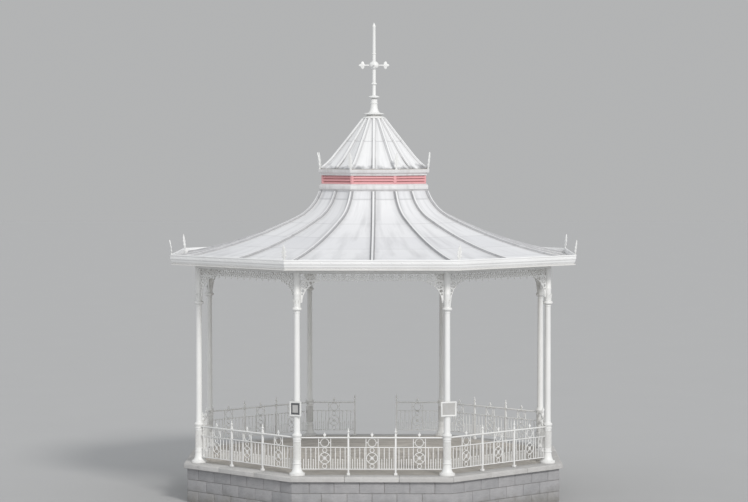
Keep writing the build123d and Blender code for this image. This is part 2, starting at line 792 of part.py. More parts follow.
def finial_spire():
    """A moulded foot on the cap roof, a neck, a knop, a boss for the arms and a pole."""
    flange = CAP_TOP_APOTHEM / cos(radians(HALF_SECTOR)) + FINIAL_FLANGE
    collar, knop = CAP_TOP + COLLAR_HEIGHT, CAP_TOP + KNOP_HEIGHT
    small, boss = CAP_TOP + BEAD_HEIGHT, CAP_TOP + ARM_HEIGHT
    tip = CAP_TOP + POLE_TIP
    collar_low, collar_high = collar - COLLAR_THICKNESS / 2, collar + COLLAR_THICKNESS / 2
    knop_low, knop_high = knop - KNOP_THICKNESS / 2, knop + KNOP_THICKNESS / 2
    small_low, small_high = small - BEAD_THICKNESS / 2, small + BEAD_THICKNESS / 2
    boss_low, boss_high = boss - BOSS_THICKNESS / 2, boss + BOSS_THICKNESS / 2
    foot = (SPIRE_NECK_RADIUS, CAP_TOP + NECK_FOOT)
    edges = [
        *outline_through([
            (flange, CAP_TOP), (flange, CAP_TOP + FINIAL_FLANGE_HEIGHT), (COLLAR_NECK, collar_low),
        ]),
        *bead(COLLAR_NECK, COLLAR_RADIUS, collar, COLLAR_THICKNESS),
        TangentArc(foot, (COLLAR_NECK, collar_high), tangent=(0, -1)),
        *outline_through([foot, (SPIRE_NECK_RADIUS, CAP_TOP + NECK_TOP), (POLE_RADIUS, knop_low)]),
        *bead(POLE_RADIUS, KNOP_RADIUS, knop, KNOP_THICKNESS),
        Line((POLE_RADIUS, knop_high), (POLE_RADIUS, small_low)),
        *bead(POLE_RADIUS, BEAD_RADIUS, small, BEAD_THICKNESS),
        Line((POLE_RADIUS, small_high), (POLE_RADIUS, boss_low)),
        *bead(POLE_RADIUS, BOSS_RADIUS, boss, BOSS_THICKNESS),
        *outline_through([
            (POLE_RADIUS, boss_high), (POLE_RADIUS, tip - POLE_POINT), (POINT_RADIUS, tip),
        ]),
    ]
    return turned(edges, tip, CAP_TOP)


def finial_arms():
    """Four arms from the boss, each ending in a pointed leaf."""
    height = CAP_TOP + ARM_HEIGHT
    leaf = ARM_REACH - ARM_END_LENGTH
    wide = leaf + ARM_END_LENGTH * ARM_END_SHOULDER
    half = ARM_SIZE / 2
    arm = polygon(
        (POLE_RADIUS, height - half), (leaf, height - half), (wide, height - ARM_END / 2),
        (ARM_REACH - half, height - half), (ARM_REACH, height), (ARM_REACH - half, height + half),
        (wide, height + ARM_END / 2), (leaf, height + half), (POLE_RADIUS, height + half),
    )
    arm = upright(arm, ARM_SIZE) - finial_spire()
    return around(arm, [0, 90, 180, 270])


def crest(height):
    """A pointed leaf on a small foot, facing +X, its foot at the origin."""
    half = CREST_WIDTH / 2
    slim, wide = half * CREST_SLIM, half
    belly, shoulder = height * CREST_BELLY, height * CREST_SHOULDER
    foot_half = CREST_THICKNESS / 2
    leaf = [
        Line((-slim, 0), (slim, 0)),
        ThreePointArc((slim, 0), (wide, belly), (slim, shoulder)),
        ThreePointArc((-slim, 0), (-wide, belly), (-slim, shoulder)),
        Line((slim, shoulder), (0, height)),
        Line((-slim, shoulder), (0, height)),
    ]
    blade = extrude(Plane.YZ * make_face(leaf), amount=foot_half / 2, both=True)
    blade = Rot(0, CREST_LEAN, 0) * blade
    block = box_between((-foot_half, -slim, 0), (foot_half, slim, CREST_FOOT))
    above = box_between((-height, -height, 0), (height, height, 2 * height))
    return block + (blade & above)


def crests(height, apothem, base):
    radius = apothem / cos(radians(HALF_SECTOR)) - CREST_THICKNESS
    return at_corners(Pos(radius, 0, base) * crest(height))


def programme_board(width):
    """A plain framed board, clipped to a shaft, facing +X."""
    low, high = BOARD_CENTRE - BOARD_HEIGHT / 2, BOARD_CENTRE + BOARD_HEIGHT / 2
    back = COLUMN_CIRCLE + shaft_radius(low) + SEAT
    front = back + BOARD_THICKNESS
    half = width / 2
    sunk = half - BOARD_BORDER
    board = box_between((back, -half, DECK + low), (front, half, DECK + high))
    board -= box_between(
        (front - BOARD_RECESS, -sunk, DECK + low + BOARD_BORDER),
        (front, sunk, DECK + high - BOARD_BORDER),
    )
    inner = shaft_radius(BOARD_CENTRE - CLIP_HEIGHT / 2) + SEAT
    clip_ring = Circle(inner + CLIP_WALL) - Circle(inner)
    base = DECK + BOARD_CENTRE - CLIP_HEIGHT / 2
    clip_band = extrude(Pos(COLUMN_CIRCLE, 0, base) * clip_ring, amount=CLIP_HEIGHT)
    return board + clip_band


def programme_boards():
    """The boards on the two front columns."""
    left = turn(programme_board(LEFT_BOARD_WIDTH), corner_angle(1))
    right = turn(programme_board(RIGHT_BOARD_WIDTH), corner_angle(2))
    return Compound(left.solids() + right.solids())


def build():
    """Every node of the bandstand by name."""
    nodes = {
        "plinth_wall": plinth_wall(),
        "plinth_coping": plinth_coping(),
        "centre_pier": centre_pier(),
        "floor_joists": floor_joists(),
        "stage_floor": stage_floor(),
        "entrance_steps": entrance_steps(),
    }
    whole, parted = railings()
    frieze = frieze_plate()
    for number in CORNERS:
        nodes[f"column_{number}"] = column(number)
        nodes[f"railing_{number}"] = at_bay(parted if number == ENTRANCE_BAY else whole, number)
        nodes[f"frieze_{number}"] = at_bay(frieze, number)
    nodes["spandrel_brackets"] = spandrel_brackets()
    nodes["eaves_beam"] = eaves_beam()
    nodes["eaves_soffit"] = eaves_soffit()
    nodes["eaves_gutter"] = eaves_gutter()
    nodes["main_roof"] = main_roof()
    nodes["roof_rolls"] = roof_rolls()
    nodes["roof_rafters"] = roof_rafters()
    nodes["lantern_sill"] = lantern_sill()
    nodes["lantern_louvres"] = lantern_louvres()
    nodes["lantern_cornice"] = lantern_cornice()
    nodes["cap_roof"] = cap_roof()
    nodes["cap_rolls"] = cap_rolls()
    nodes["finial_spire"] = finial_spire()
    nodes["finial_arms"] = finial_arms()
    nodes["eaves_crests"] = crests(CREST_HEIGHT, GUTTER_APOTHEM, BEAM_TOP + GUTTER_HEIGHT)
    nodes["lantern_crests"] = crests(CAP_CREST_HEIGHT, CORNICE_APOTHEM, CORNICE_TOP)
    nodes["programme_boards"] = programme_boards()
    return nodes


os.makedirs("parts", exist_ok=True)
for name, shape in build().items():
    export_step(shape, f"parts/{name}.step")
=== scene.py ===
import logging
import math
from contextlib import contextmanager
from dataclasses import dataclass, field
from enum import Enum
from typing import Callable, Iterator, Sequence

import bpy
import numpy as np
from mathutils import Matrix, Vector


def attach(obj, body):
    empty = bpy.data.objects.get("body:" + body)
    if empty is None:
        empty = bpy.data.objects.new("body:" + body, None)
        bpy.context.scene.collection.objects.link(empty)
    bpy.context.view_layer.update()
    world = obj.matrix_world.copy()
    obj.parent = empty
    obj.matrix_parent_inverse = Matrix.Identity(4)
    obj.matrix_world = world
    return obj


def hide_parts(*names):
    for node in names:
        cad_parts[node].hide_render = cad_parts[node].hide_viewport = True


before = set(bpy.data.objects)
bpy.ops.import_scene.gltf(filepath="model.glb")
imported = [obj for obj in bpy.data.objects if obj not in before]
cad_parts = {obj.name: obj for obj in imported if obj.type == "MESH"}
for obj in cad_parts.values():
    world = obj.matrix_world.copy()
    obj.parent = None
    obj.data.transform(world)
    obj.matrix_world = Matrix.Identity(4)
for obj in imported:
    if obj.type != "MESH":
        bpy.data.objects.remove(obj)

Object = bpy.types.Object
Material = bpy.types.Material
NodeSocket = bpy.types.NodeSocket
Pair = tuple[float, float]
Outline = Sequence[Pair]
Point = tuple[float, float, float]
Colour = tuple[float, float, float]

log = logging.getLogger("bandstand")

SIDES = 8
TURN = math.tau / SIDES
HALF_TURN = TURN / 2
FRONT = -math.pi / 2
LEFT_CORNER, RIGHT_CORNER = FRONT - HALF_TURN, FRONT + HALF_TURN
CORNER_WAY = np.array([math.cos(LEFT_CORNER), math.sin(LEFT_CORNER)])
CORNER_SIDE = np.array([-CORNER_WAY[1], CORNER_WAY[0]])
CORNER_STRETCH = 1 / math.cos(HALF_TURN)
SMALLEST = 1e-5
FLAT_ANGLE = math.radians(0.5)
SMOOTH_ANGLE = math.radians(35)
PAST_MITRE = 0.5
BEND_STEPS = 6


@dataclass(frozen=True)
class Plan:
    """Main lines of the octagon, in metres."""

    deck: float = 0.85
    column_circle: float = 4.1
    plinth_overhang: float = 0.25
    coping_width: float = 0.345
    beam_low: float = 5.086
    frieze_low: float = 4.926
    gutter_overhang: float = 0.6

    @property
    def column_apothem(self) -> float:
        """Distance of the column line from the centre."""
        return self.column_circle / CORNER_STRETCH

    @property
    def bay_half(self) -> float:
        """Half the distance between two columns."""
        return self.column_circle * math.sin(HALF_TURN)

    @property
    def plinth_apothem(self) -> float:
        """Distance of the plinth's face from the centre."""
        return self.column_apothem + self.plinth_overhang

    @property
    def gutter_apothem(self) -> float:
        """Distance of the gutter's face from the centre."""
        return self.column_apothem + self.gutter_overhang


PLAN = Plan()


class Slot(Enum):
    """Material slots of the record, passed along with new pieces."""

    PLINTH = "plinth_stone"
    COPING = "coping_stone"
    BOARDS = "floor_boards"
    IRON = "white_cast_iron"
    BOARDING = "white_boarding"
    SHEET = "roof_sheet"
    LOUVRES = "red_louvres"


# Bench work

def shifted(points: Outline, across: float, up: float) -> list[Pair]:
    """Move the points of an outline."""
    return [(across + x, up + z) for x, z in points]


def mirrored(half: Outline) -> list[Pair]:
    """A whole outline from its right half. Points on the middle line stay single."""
    return [*half, *((-x, z) for x, z in reversed(half) if x)]


def quarter(steps: int) -> list[Pair]:
    """Sine and cosine at even steps over a right angle."""
    angles = [math.radians(90 * step / steps) for step in range(steps + 1)]
    return [(math.sin(angle), math.cos(angle)) for angle in angles]


def hold(obj: Object) -> None:
    """Select one object alone and make it active.

    Args:
        obj: The object to work on.
    """
    bpy.ops.object.select_all(action="DESELECT")
    obj.select_set(True)
    bpy.context.view_layer.objects.active = obj


@contextmanager
def editing(obj: Object) -> Iterator[None]:
    """Open an object in edit mode with everything selected.

    Args:
        obj: The mesh object to edit.
    """
    hold(obj)
    bpy.ops.object.mode_set(mode="EDIT")
    bpy.ops.mesh.select_mode(type="VERT")
    bpy.ops.mesh.select_all(action="SELECT")
    yield
    bpy.ops.object.mode_set(mode="OBJECT")


def settle(obj: Object) -> Object:
    """Put an object's place into its mesh.

    Args:
        obj: The object.

    Returns:
        The same object.
    """
    hold(obj)
    bpy.ops.object.transform_apply(location=True, rotation=True, scale=True)
    return obj


def primitive(add: Callable[..., set[str]], scale: Point = (1, 1, 1), **settings: object) -> Object:
    """Add a primitive at its size and place.

    Args:
        add: The operator that adds it.
        scale: Its stretch along each axis.
        settings: The operator's settings.

    Returns:
        A new object with its place in its mesh.
    """
    add(**settings)
    obj = bpy.context.object
    obj.scale = scale
    return settle(obj)


def trace(points: Sequence[Point]) -> Object:
    """Draw a chain of edges by extruding one vertex from point to point.

    Args:
        points: Points of the chain.

    Returns:
        A new object with its place in its mesh.
    """
    bpy.ops.mesh.primitive_plane_add(size=0.01, location=points[0])
    obj = bpy.context.object
    with editing(obj):
        bpy.ops.mesh.merge(type="CENTER")
        for start, end in zip(points, points[1:]):
            step = Vector(end) - Vector(start)
            bpy.ops.mesh.extrude_vertices_move(TRANSFORM_OT_translate={"value": step})
    return settle(obj)


def tidy_shell(obj: Object) -> Object:
    """Merge doubles and point the faces outwards.

    Args:
        obj: The mesh object.

    Returns:
        The same object.
    """
    with editing(obj):
        bpy.ops.mesh.remove_doubles(threshold=SMALLEST)
        bpy.ops.mesh.normals_make_consistent(inside=False)
    return obj


def drawn_out(points: Sequence[Point], step: Point) -> Object:
    """Fill a closed outline and extrude it.

    Args:
        points: Points of the outline.
        step: Way and length of the extrusion.

    Returns:
        A new closed object.
    """
    obj = trace(points)
    with editing(obj):
        bpy.ops.mesh.edge_face_add()
        bpy.ops.mesh.extrude_region_move(TRANSFORM_OT_translate={"value": step})
    return tidy_shell(obj)


def plate(outline: Outline, depth: float) -> Object:
    """Give an outline, drawn as (x, height), a thickness along Y."""
    return drawn_out([(x, -depth / 2, z) for x, z in outline], (0, depth, 0))


def run_along(section: Outline, start: float, end: float) -> Object:
    """Carry a section, drawn as (y, height), along X."""
    return drawn_out([(start, y, z) for y, z in section], (end - start, 0, 0))


def lathe(profile: Outline, steps: int, centre: Pair = (0.0, 0.0), start: float = 0.0) -> Object:
    """Spin a profile about an upright axis.

    Args:
        profile: Points as (radius, height).
        steps: Number of steps in a full turn.
        centre: Place of the axis in plan.
        start: Direction in which the profile is drawn.

    Returns:
        A new closed object.
    """
    x, y = centre
    across, along = math.cos(start), math.sin(start)
    obj = trace([(x + radius * across, y + radius * along, z) for radius, z in profile])
    with editing(obj):
        bpy.ops.mesh.spin(
            steps=steps, angle=math.tau, center=(x, y, 0), axis=(0, 0, 1), use_auto_merge=True
        )
    return tidy_shell(obj)


def octagon_ring(section: Outline) -> Object:
    """Carry a closed section, drawn as (apothem, height), round the octagon."""
    stretched = [(apothem * CORNER_STRETCH, z) for apothem, z in [*section, section[0]]]
    return lathe(stretched, SIDES, start=HALF_TURN)


def block(low: Point, high: Point) -> Object:
    """Add a cube primitive at the size and place between two corners.

    Args:
        low: The lowest corner.
        high: The highest corner.

    Returns:
        A new object.
    """
    size = [b - a for a, b in zip(low, high)]
    middle = [(a + b) / 2 for a, b in zip(low, high)]
    return primitive(bpy.ops.mesh.primitive_cube_add, size, size=1, location=middle)


def post(half: float, low: float, high: float) -> Object:
    """Add a square upright on the Z axis."""
    return block((-half, -half, low), (half, half, high))


def ball(radius: float, centre: Point, depth: float, segments: int = 12, rings: int = 8) -> Object:
    """Add a ball that is flattened along Y."""
    return primitive(
        bpy.ops.mesh.primitive_uv_sphere_add, (1, depth, 1), segments=segments, ring_count=rings,
        radius=radius, location=centre,
    )


def soften(obj: Object, width: float, segments: int = 2, angle: float = 30.0) -> Object:
    """Round the edges that are sharper than an angle.

    Args:
        obj: The object to soften.
        width: Width of the rounding.
        segments: Facets across it.
        angle: Smallest angle in degrees.

    Returns:
        The same object.
    """
    hold(obj)
    bevel = obj.modifiers.new("soften", "BEVEL")
    bevel.width = width
    bevel.segments = segments
    bevel.limit_method = "ANGLE"
    bevel.angle_limit = math.radians(angle)
    bevel.use_clamp_overlap = True
    bpy.ops.object.modifier_apply(modifier=bevel.name)
    return obj


def copied(obj: Object, place: Matrix) -> Object:
    """Copy an object with its own mesh.

    Args:
        obj: The object to copy.
        place: Matrix that moves the copy's mesh.

    Returns:
        The copy.
    """
    twin = obj.copy()
    twin.data = obj.data.copy()
    twin.data.transform(place)
    bpy.context.scene.collection.objects.link(twin)
    return twin


def moved(obj: Object, place: Matrix) -> Object:
    """Move an object's mesh by a matrix."""
    obj.data.transform(place)
    return obj


def turned(obj: Object, index: int) -> Object:
    """Copy an object, turned about the centre by whole bays."""
    return copied(obj, Matrix.Rotation(TURN * index, 4, "Z"))


def set_out(pattern: Object, places: Sequence[Matrix]) -> list[Object]:
    """Copy a pattern to places and take the pattern away.

    Args:
        pattern: The object to copy.
        places: Matrices that move the copies.

    Returns:
        The copies.
    """
    copies = [copied(pattern, place) for place in places]
    bpy.data.objects.remove(pattern)
    return copies


def at(places: Sequence[Point]) -> list[Matrix]:
    """Matrices that move to places."""
    return [Matrix.Translation(place) for place in places]


def whorl(count: int, axis: str, place: Matrix = Matrix(), start: float = 0.0) -> list[Matrix]:
    """Even turns about an axis.

    Args:
        count: Number of turns.
        axis: Name of the axis.
        place: Where the axis stands.
        start: First turn, as a share of a step.

    Returns:
        The matrices of the turns.
    """
    turns = [math.tau * (index + start) / count for index in range(count)]
    return [place @ Matrix.Rotation(turn, 4, axis) for turn in turns]


def joined(parts: Sequence[Object]) -> Object:
    """Join objects into the first of them.

    Args:
        parts: The objects.

    Returns:
        The first of them.
    """
    hold(parts[0])
    for part in parts[1:]:
        part.select_set(True)
    if len(parts) > 1:
        bpy.ops.object.join()
    return parts[0]


def all_round(obj: Object) -> Object:
    """Join an object with its seven turned copies."""
    return joined([obj] + [turned(obj, index) for index in range(1, SIDES)])


def mitred(obj: Object, gap: float = 0.0, fill: bool = True) -> Object:
    """Cut a front piece on the lines through the two corners of the front bay.

    Args:
        obj: A piece at the front bay.
        gap: Joint left between it and the next bay's piece.
        fill: Whether the cut is closed.

    Returns:
        The same object.
    """
    for side in (-1, 1):
        normal = Vector((side * math.cos(HALF_TURN), math.sin(HALF_TURN), 0))
        with editing(obj):
            bpy.ops.mesh.bisect(plane_co=-normal * gap / 2, plane_no=normal, clear_outer=True)
        if fill:
            with editing(obj):
                bpy.ops.mesh.fill_holes(sides=0)
                bpy.ops.mesh.select_all(action="SELECT")
                bpy.ops.mesh.normals_make_consistent(inside=False)
    return obj


def casting(node: str) -> Object:
    """Take a merged copy of a CAD node, with its flat faces whole again.

    Args:
        node: Name of the node.

    Returns:
        The copy.
    """
    twin = copied(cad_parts[node], Matrix())
    twin.parent = None
    for key in list(twin.keys()):
        del twin[key]
    hold(twin)
    if twin.data.has_custom_normals:
        bpy.ops.mesh.customdata_custom_splitnormals_clear()
    with editing(twin):
        bpy.ops.mesh.remove_doubles(threshold=SMALLEST)
        bpy.ops.mesh.dissolve_limited(angle_limit=FLAT_ANGLE)
    return twin


def node_points(node: str) -> np.ndarray:
    """Read the vertices of a CAD node, one to a row."""
    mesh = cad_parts[node].data
    return np.array([vertex.co for vertex in mesh.vertices])


def island_labels(mesh: bpy.types.Mesh) -> np.ndarray:
    """Number the separate parts of a mesh.

    Args:
        mesh: The mesh to look at.

    Returns:
        One whole number for each vertex, the same throughout a part.
    """
    edges = np.zeros(len(mesh.edges) * 2, np.int64)
    mesh.edges.foreach_get("vertices", edges)
    first, second = edges.reshape(-1, 2).T
    labels = np.arange(len(mesh.vertices))
    while True:
        lowest = np.minimum(labels[first], labels[second])
        before = labels.copy()
        np.minimum.at(labels, first, lowest)
        np.minimum.at(labels, second, lowest)
        labels = labels[labels]
        if (labels == before).all():
            return np.unique(labels, return_inverse=True)[1]


def mark_parts(obj: Object, seed: int) -> Object:
    """Give each separate part a tone and its own place in the grain.

    Args:
        obj: The object to mark, before it is turned to its bay.
        seed: Seed of the random draws.

    Returns:
        The same object.
    """
    mesh = obj.data
    labels = island_labels(mesh)
    draw = np.random.default_rng(seed)
    tones = draw.random(labels.max() + 1)
    shifts = draw.random((labels.max() + 1, 3)) * 10
    place = np.zeros(len(mesh.vertices) * 3, np.float32)
    mesh.vertices.foreach_get("co", place)
    lay = place.reshape(-1, 3) + shifts[labels]
    tone = mesh.attributes.new("tone", "FLOAT", "POINT")
    tone.data.foreach_set("value", tones[labels].astype(np.float32))
    grain = mesh.attributes.new("lay", "FLOAT_VECTOR", "POINT")
    grain.data.foreach_set("vector", lay.astype(np.float32).ravel())
    return obj


def present(obj: Object, name: str, finish: Material, slot: Slot, *nodes: str) -> None:
    """Name, dress and hand over a finished piece.

    Args:
        obj: The piece.
        name: Its name.
        finish: Its material.
        slot: The record's slot that the finish belongs to; not used.
        nodes: CAD nodes that it stands for.
    """
    obj.name = name
    obj.data.name = name
    obj.data.materials.clear()
    obj.data.materials.append(finish)
    settle(obj)
    bpy.ops.object.shade_smooth_by_angle(angle=SMOOTH_ANGLE)
    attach(obj, "root")
    if nodes:
        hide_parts(*nodes)
    log.info("%s: %d faces", name, len(obj.data.polygons))


def present_castings(patterns: Sequence[Object], node: str, finish: Material) -> None:
    """Turn one iron casting to each bay, hand them over and take the patterns away.

    Args:
        patterns: The casting of each bay, drawn at the front.
        node: Kind of CAD node that they stand for.
        finish: Their material.
    """
    for index, pattern in enumerate(patterns):
        place = f"{node}_{index + 1}"
        present(turned(pattern, index), f"cast_{place}", finish, Slot.IRON, place)
    for pattern in dict.fromkeys(patterns):
        bpy.data.objects.remove(pattern)


def dress_node(name: str, finish: Material) -> None:
    """Give a CAD node, which keeps its shape, a better material.

    Args:
        name: Name of the node.
        finish: The material.
    """
    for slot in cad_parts[name].material_slots:
        slot.material = finish
    log.info("%s: node kept, finish %s", name, finish.name)


# Shared effects

class Wiring:
    """Adds and joins nodes in one node tree."""

    def __init__(self, tree: bpy.types.NodeTree) -> None:
        """Start on a node tree."""
        self.tree = tree

    def feed(self, socket: NodeSocket, value: object) -> None:
        """Link a socket to an input, or set the input's value.

        Args:
            socket: The input.
            value: An output socket, a number, a vector or a colour.
        """
        if isinstance(value, NodeSocket):
            self.tree.links.new(value, socket)
        elif socket.type == "RGBA":
            socket.default_value = (*value, 1.0)
        else:
            socket.default_value = value

    def node(self, kind: str, inputs: dict | None = None, **settings: object) -> bpy.types.Node:
        """Add a node.

        Args:
            kind: Its type.
            inputs: Values or sockets by input name or number.
            settings: Its other properties.

        Returns:
            The new node.
        """
        made = self.tree.nodes.new(kind)
        for key, value in settings.items():
            setattr(made, key, value)
        for key, value in (inputs or {}).items():
            self.feed(made.inputs[key], value)
        return made

    def math(self, operation: str, first: object, second: object = 0.0) -> NodeSocket:
        """Work out one value from two."""
        return self.node("ShaderNodeMath", {0: first, 1: second}, operation=operation).outputs[0]

    def times(self, first: object, second: object) -> NodeSocket:
        """Multiply two values."""
        return self.math("MULTIPLY", first, second)

    def less(self, first: object, second: object) -> NodeSocket:
        """Take one value from another."""
        return self.math("SUBTRACT", first, second)

    def mix(self, share: object, first: object, second: object) -> NodeSocket:
        """Blend two colours."""
        inputs = {0: share, 6: first, 7: second}
        return self.node("ShaderNodeMix", inputs, data_type="RGBA").outputs[2]

    def spread(
        self, value: object, low: object, high: object, start: float = 0.0, end: float = 1.0
    ) -> NodeSocket:
        """Map a range to another, held at its ends."""
        inputs = {"Value": value, "From Min": low, "From Max": high, "To Min": start, "To Max": end}
        return self.node("ShaderNodeMapRange", inputs, clamp=True).outputs["Result"]

    def place(self) -> NodeSocket:
        """Object coordinates."""
        return self.node("ShaderNodeTexCoord").outputs["Object"]

    def axes(self, vector: NodeSocket) -> Sequence[NodeSocket]:
        """The three numbers of a vector."""
        return self.node("ShaderNodeSeparateXYZ", {0: vector}).outputs[:]

    def facing_up(self) -> NodeSocket:
        """How far the surface faces up, from -1 to 1."""
        return self.axes(self.node("ShaderNodeNewGeometry").outputs["Normal"])[2]

    def flat(self, x: NodeSocket, y: NodeSocket) -> NodeSocket:
        """A vector of two numbers."""
        return self.node("ShaderNodeCombineXYZ", {"X": x, "Y": y}).outputs[0]

    def mapped(self, vector: NodeSocket, scale: Point) -> NodeSocket:
        """Stretch coordinates."""
        return self.node("ShaderNodeMapping", {"Vector": vector, "Scale": scale}).outputs[0]

    def noise(self, vector: NodeSocket, scale: object, detail: float) -> NodeSocket:
        """Cloud noise."""
        inputs = {"Vector": vector, "Scale": scale, "Detail": detail}
        return self.node("ShaderNodeTexNoise", inputs).outputs["Fac"]

    def patches(
        self, scale: object, detail: float, low: float, high: float, start: float = 0.0, end: float = 1.0
    ) -> NodeSocket:
        """Cloud noise in Object coordinates, with its range mapped."""
        return self.spread(self.noise(self.place(), scale, detail), low, high, start, end)

    def attribute(self, name: str, output: str) -> NodeSocket:
        """A mesh attribute's output."""
        return self.node("ShaderNodeAttribute", attribute_name=name).outputs[output]


class Effect(Wiring):
    """A shared node group with named inputs and outputs."""

    def __init__(self, name: str, outputs: Sequence[str] = ("Mask",), **inputs: float) -> None:
        """Make the group with its sockets.

        Args:
            name: Name of the group.
            outputs: Output names.
            inputs: Inputs with their usual values.
        """
        super().__init__(bpy.data.node_groups.new(name, "ShaderNodeTree"))
        for key, value in inputs.items():
            self.socket(key, "INPUT").default_value = value
        for key in outputs:
            self.socket(key, "OUTPUT")
        self.given = self.tree.nodes.new("NodeGroupInput").outputs
        self.put = self.tree.nodes.new("NodeGroupOutput").inputs

    def socket(self, name: str, way: str) -> bpy.types.NodeTreeInterfaceSocket:
        """Give the group an input or output."""
        return self.tree.interface.new_socket(name=name, in_out=way, socket_type="NodeSocketFloat")

    def close(self, **outputs: NodeSocket) -> "Effect":
        """Link the outputs.

        Args:
            outputs: Sockets by output name.

        Returns:
            The effect itself.
        """
        for key, value in outputs.items():
            self.feed(self.put[key], value)
        return self


def rain_streaks() -> Effect:
    """Upright streaks on surfaces that face sideways.

    Returns:
        The effect.
    """
    effect = Effect("rain_streaks", Scale=6.0, Cover=0.5)
    long_way = effect.mapped(effect.place(), (1.0, 1.0, 0.12))
    noise = effect.noise(long_way, effect.given["Scale"], 5.0)
    limit = effect.less(0.78, effect.times(effect.given["Cover"], 0.5))
    streak = effect.spread(noise, limit, effect.math("ADD", limit, 0.22))
    side = effect.spread(effect.math("ABSOLUTE", effect.facing_up()), 0.95, 0.4)
    return effect.close(Mask=effect.times(streak, side))


def settled_dust() -> Effect:
    """Dust and soot on surfaces that face up.

    Returns:
        The effect.
    """
    effect = Effect("settled_dust", Scale=3.0, Cover=0.5)
    patchy = effect.patches(effect.given["Scale"], 6.0, 0.3, 0.75)
    cover = effect.times(effect.spread(effect.facing_up(), 0.35, 0.95), effect.given["Cover"])
    return effect.close(Mask=effect.times(cover, patchy))


def edge_wear() -> Effect:
    """Broken wear along edges.

    Returns:
        The effect.
    """
    effect = Effect("edge_wear", Scale=18.0, Reach=0.005, Cover=0.5)
    flat = effect.node("ShaderNodeNewGeometry").outputs["Normal"]
    rounded = effect.node("ShaderNodeBevel", {"Radius": effect.given["Reach"]}, samples=3).outputs[0]
    likeness = effect.node("ShaderNodeVectorMath", {0: flat, 1: rounded}, operation="DOT_PRODUCT")
    edge = effect.spread(likeness.outputs["Value"], 0.985, 0.90)
    worn = effect.times(edge, effect.patches(effect.given["Scale"], 5.0, 0.5, 0.68))
    return effect.close(Mask=effect.times(worn, effect.given["Cover"]))


def recess_grime_and_shade() -> Effect:
    """Grime and painted shade where other surfaces stand close: ambient occlusion darkens recesses and
    gaps, broken by patches.

    Returns:
        The effect.
    """
    effect = Effect("recess_grime_and_shade", Reach=0.06, Scale=11.0, Cover=0.5)
    inputs = {"Distance": effect.given["Reach"]}
    # Painted shade: ambient occlusion darkens recesses and the gaps between parts.
    open_share = effect.node("ShaderNodeAmbientOcclusion", inputs, samples=4).outputs["AO"]
    patchy = effect.patches(effect.given["Scale"], 4.0, 0.2, 0.7, 0.55, 1.0)
    grime_and_shade_mask = effect.times(effect.spread(open_share, 0.85, 0.35), patchy)
    return effect.close(Mask=effect.times(grime_and_shade_mask, effect.given["Cover"]))


def spots() -> Effect:
    """Small separate spots, such as rust or lichen.

    Returns:
        The effect.
    """
    effect = Effect("spots", Scale=12.0, Cover=0.3)
    place = effect.place()
    cells = effect.node("ShaderNodeTexVoronoi", {"Vector": place, "Scale": effect.given["Scale"]})
    dot = effect.spread(cells.outputs["Distance"], 0.28, 0.12)
    field_noise = effect.noise(place, effect.times(effect.given["Scale"], 0.35), 3.0)
    limit = effect.less(0.8, effect.times(effect.given["Cover"], 0.5))
    where = effect.spread(field_noise, limit, effect.math("ADD", limit, 0.12))
    return effect.close(Mask=effect.times(dot, where))


def mottle() -> Effect:
    """Slow and fine variation for colour and relief.

    Returns:
        The effect.
    """
    effect = Effect("mottle", ("Tone", "Height"), Scale=4.0, Fine=90.0)
    slow = effect.patches(effect.given["Scale"], 4.0, 0.3, 0.7)
    return effect.close(Tone=slow, Height=effect.noise(effect.place(), effect.given["Fine"], 5.0))


def damp_foot() -> Effect:
    """Damp and splashed soil that fades upwards from the ground.

    Returns:
        The effect.
    """
    effect = Effect("damp_foot", Height=0.4, Scale=3.0)
    level = effect.axes(effect.place())[2]
    uneven = effect.patches(effect.given["Scale"], 6.0, 0.0, 1.0, -0.3, 0.3)
    ragged = effect.math("ADD", level, uneven)
    return effect.close(Mask=effect.spread(ragged, effect.given["Height"], 0.0))


def side_boards() -> Effect:
    """Boards or sheets whose joints run parallel to the octagon's sides.

    Returns:
        The effect.
    """
    effect = Effect("side_boards", ("Joint", "Tone"), Spacing=0.12, Joint=0.006)
    spacing, width = effect.given["Spacing"], effect.given["Joint"]
    x, y, _ = effect.axes(effect.place())
    across, along = effect.math("ABSOLUTE", x), effect.math("ABSOLUTE", y)
    diagonal = effect.times(effect.math("ADD", across, along), math.sqrt(0.5))
    apothem = effect.math("MAXIMUM", effect.math("MAXIMUM", across, along), diagonal)
    counted = effect.math("DIVIDE", apothem, spacing)
    board = effect.math("FLOOR", counted)
    nearest = effect.times(effect.math("PINGPONG", effect.less(counted, board), 0.5), spacing)
    joint = effect.spread(nearest, width, effect.times(width, 0.4))
    tone = effect.node("ShaderNodeTexWhiteNoise", {"W": board}, noise_dimensions="1D")
    return effect.close(Joint=joint, Tone=tone.outputs["Value"])


def radial_seams() -> Effect:
    """Distance from the lines up the hips and up the sides' middles, and runs down the slope.

    Returns:
        The effect.
    """
    effect = Effect("radial_seams", ("Distance", "Run"), Ragged=0.02, Runs=14.0)
    place = effect.place()
    x, y, _ = effect.axes(place)
    angle = effect.math("ARCTAN2", y, x)
    counted = effect.math("DIVIDE", angle, HALF_TURN)
    rest = effect.less(counted, effect.math("ROUND", counted))
    length = effect.node("ShaderNodeVectorMath", {0: effect.flat(x, y)}, operation="LENGTH")
    radius = length.outputs["Value"]
    offset = effect.math("SINE", effect.times(rest, HALF_TURN))
    distance = effect.math("ABSOLUTE", effect.times(radius, offset))
    noise = effect.less(effect.noise(place, 7.0, 5.0), 0.5)
    ragged = effect.times(noise, effect.given["Ragged"])
    long_way = effect.flat(effect.times(angle, effect.given["Runs"]), radius)
    run = effect.noise(long_way, 0.9, 5.0)
    return effect.close(Distance=effect.math("ADD", distance, ragged), Run=run)


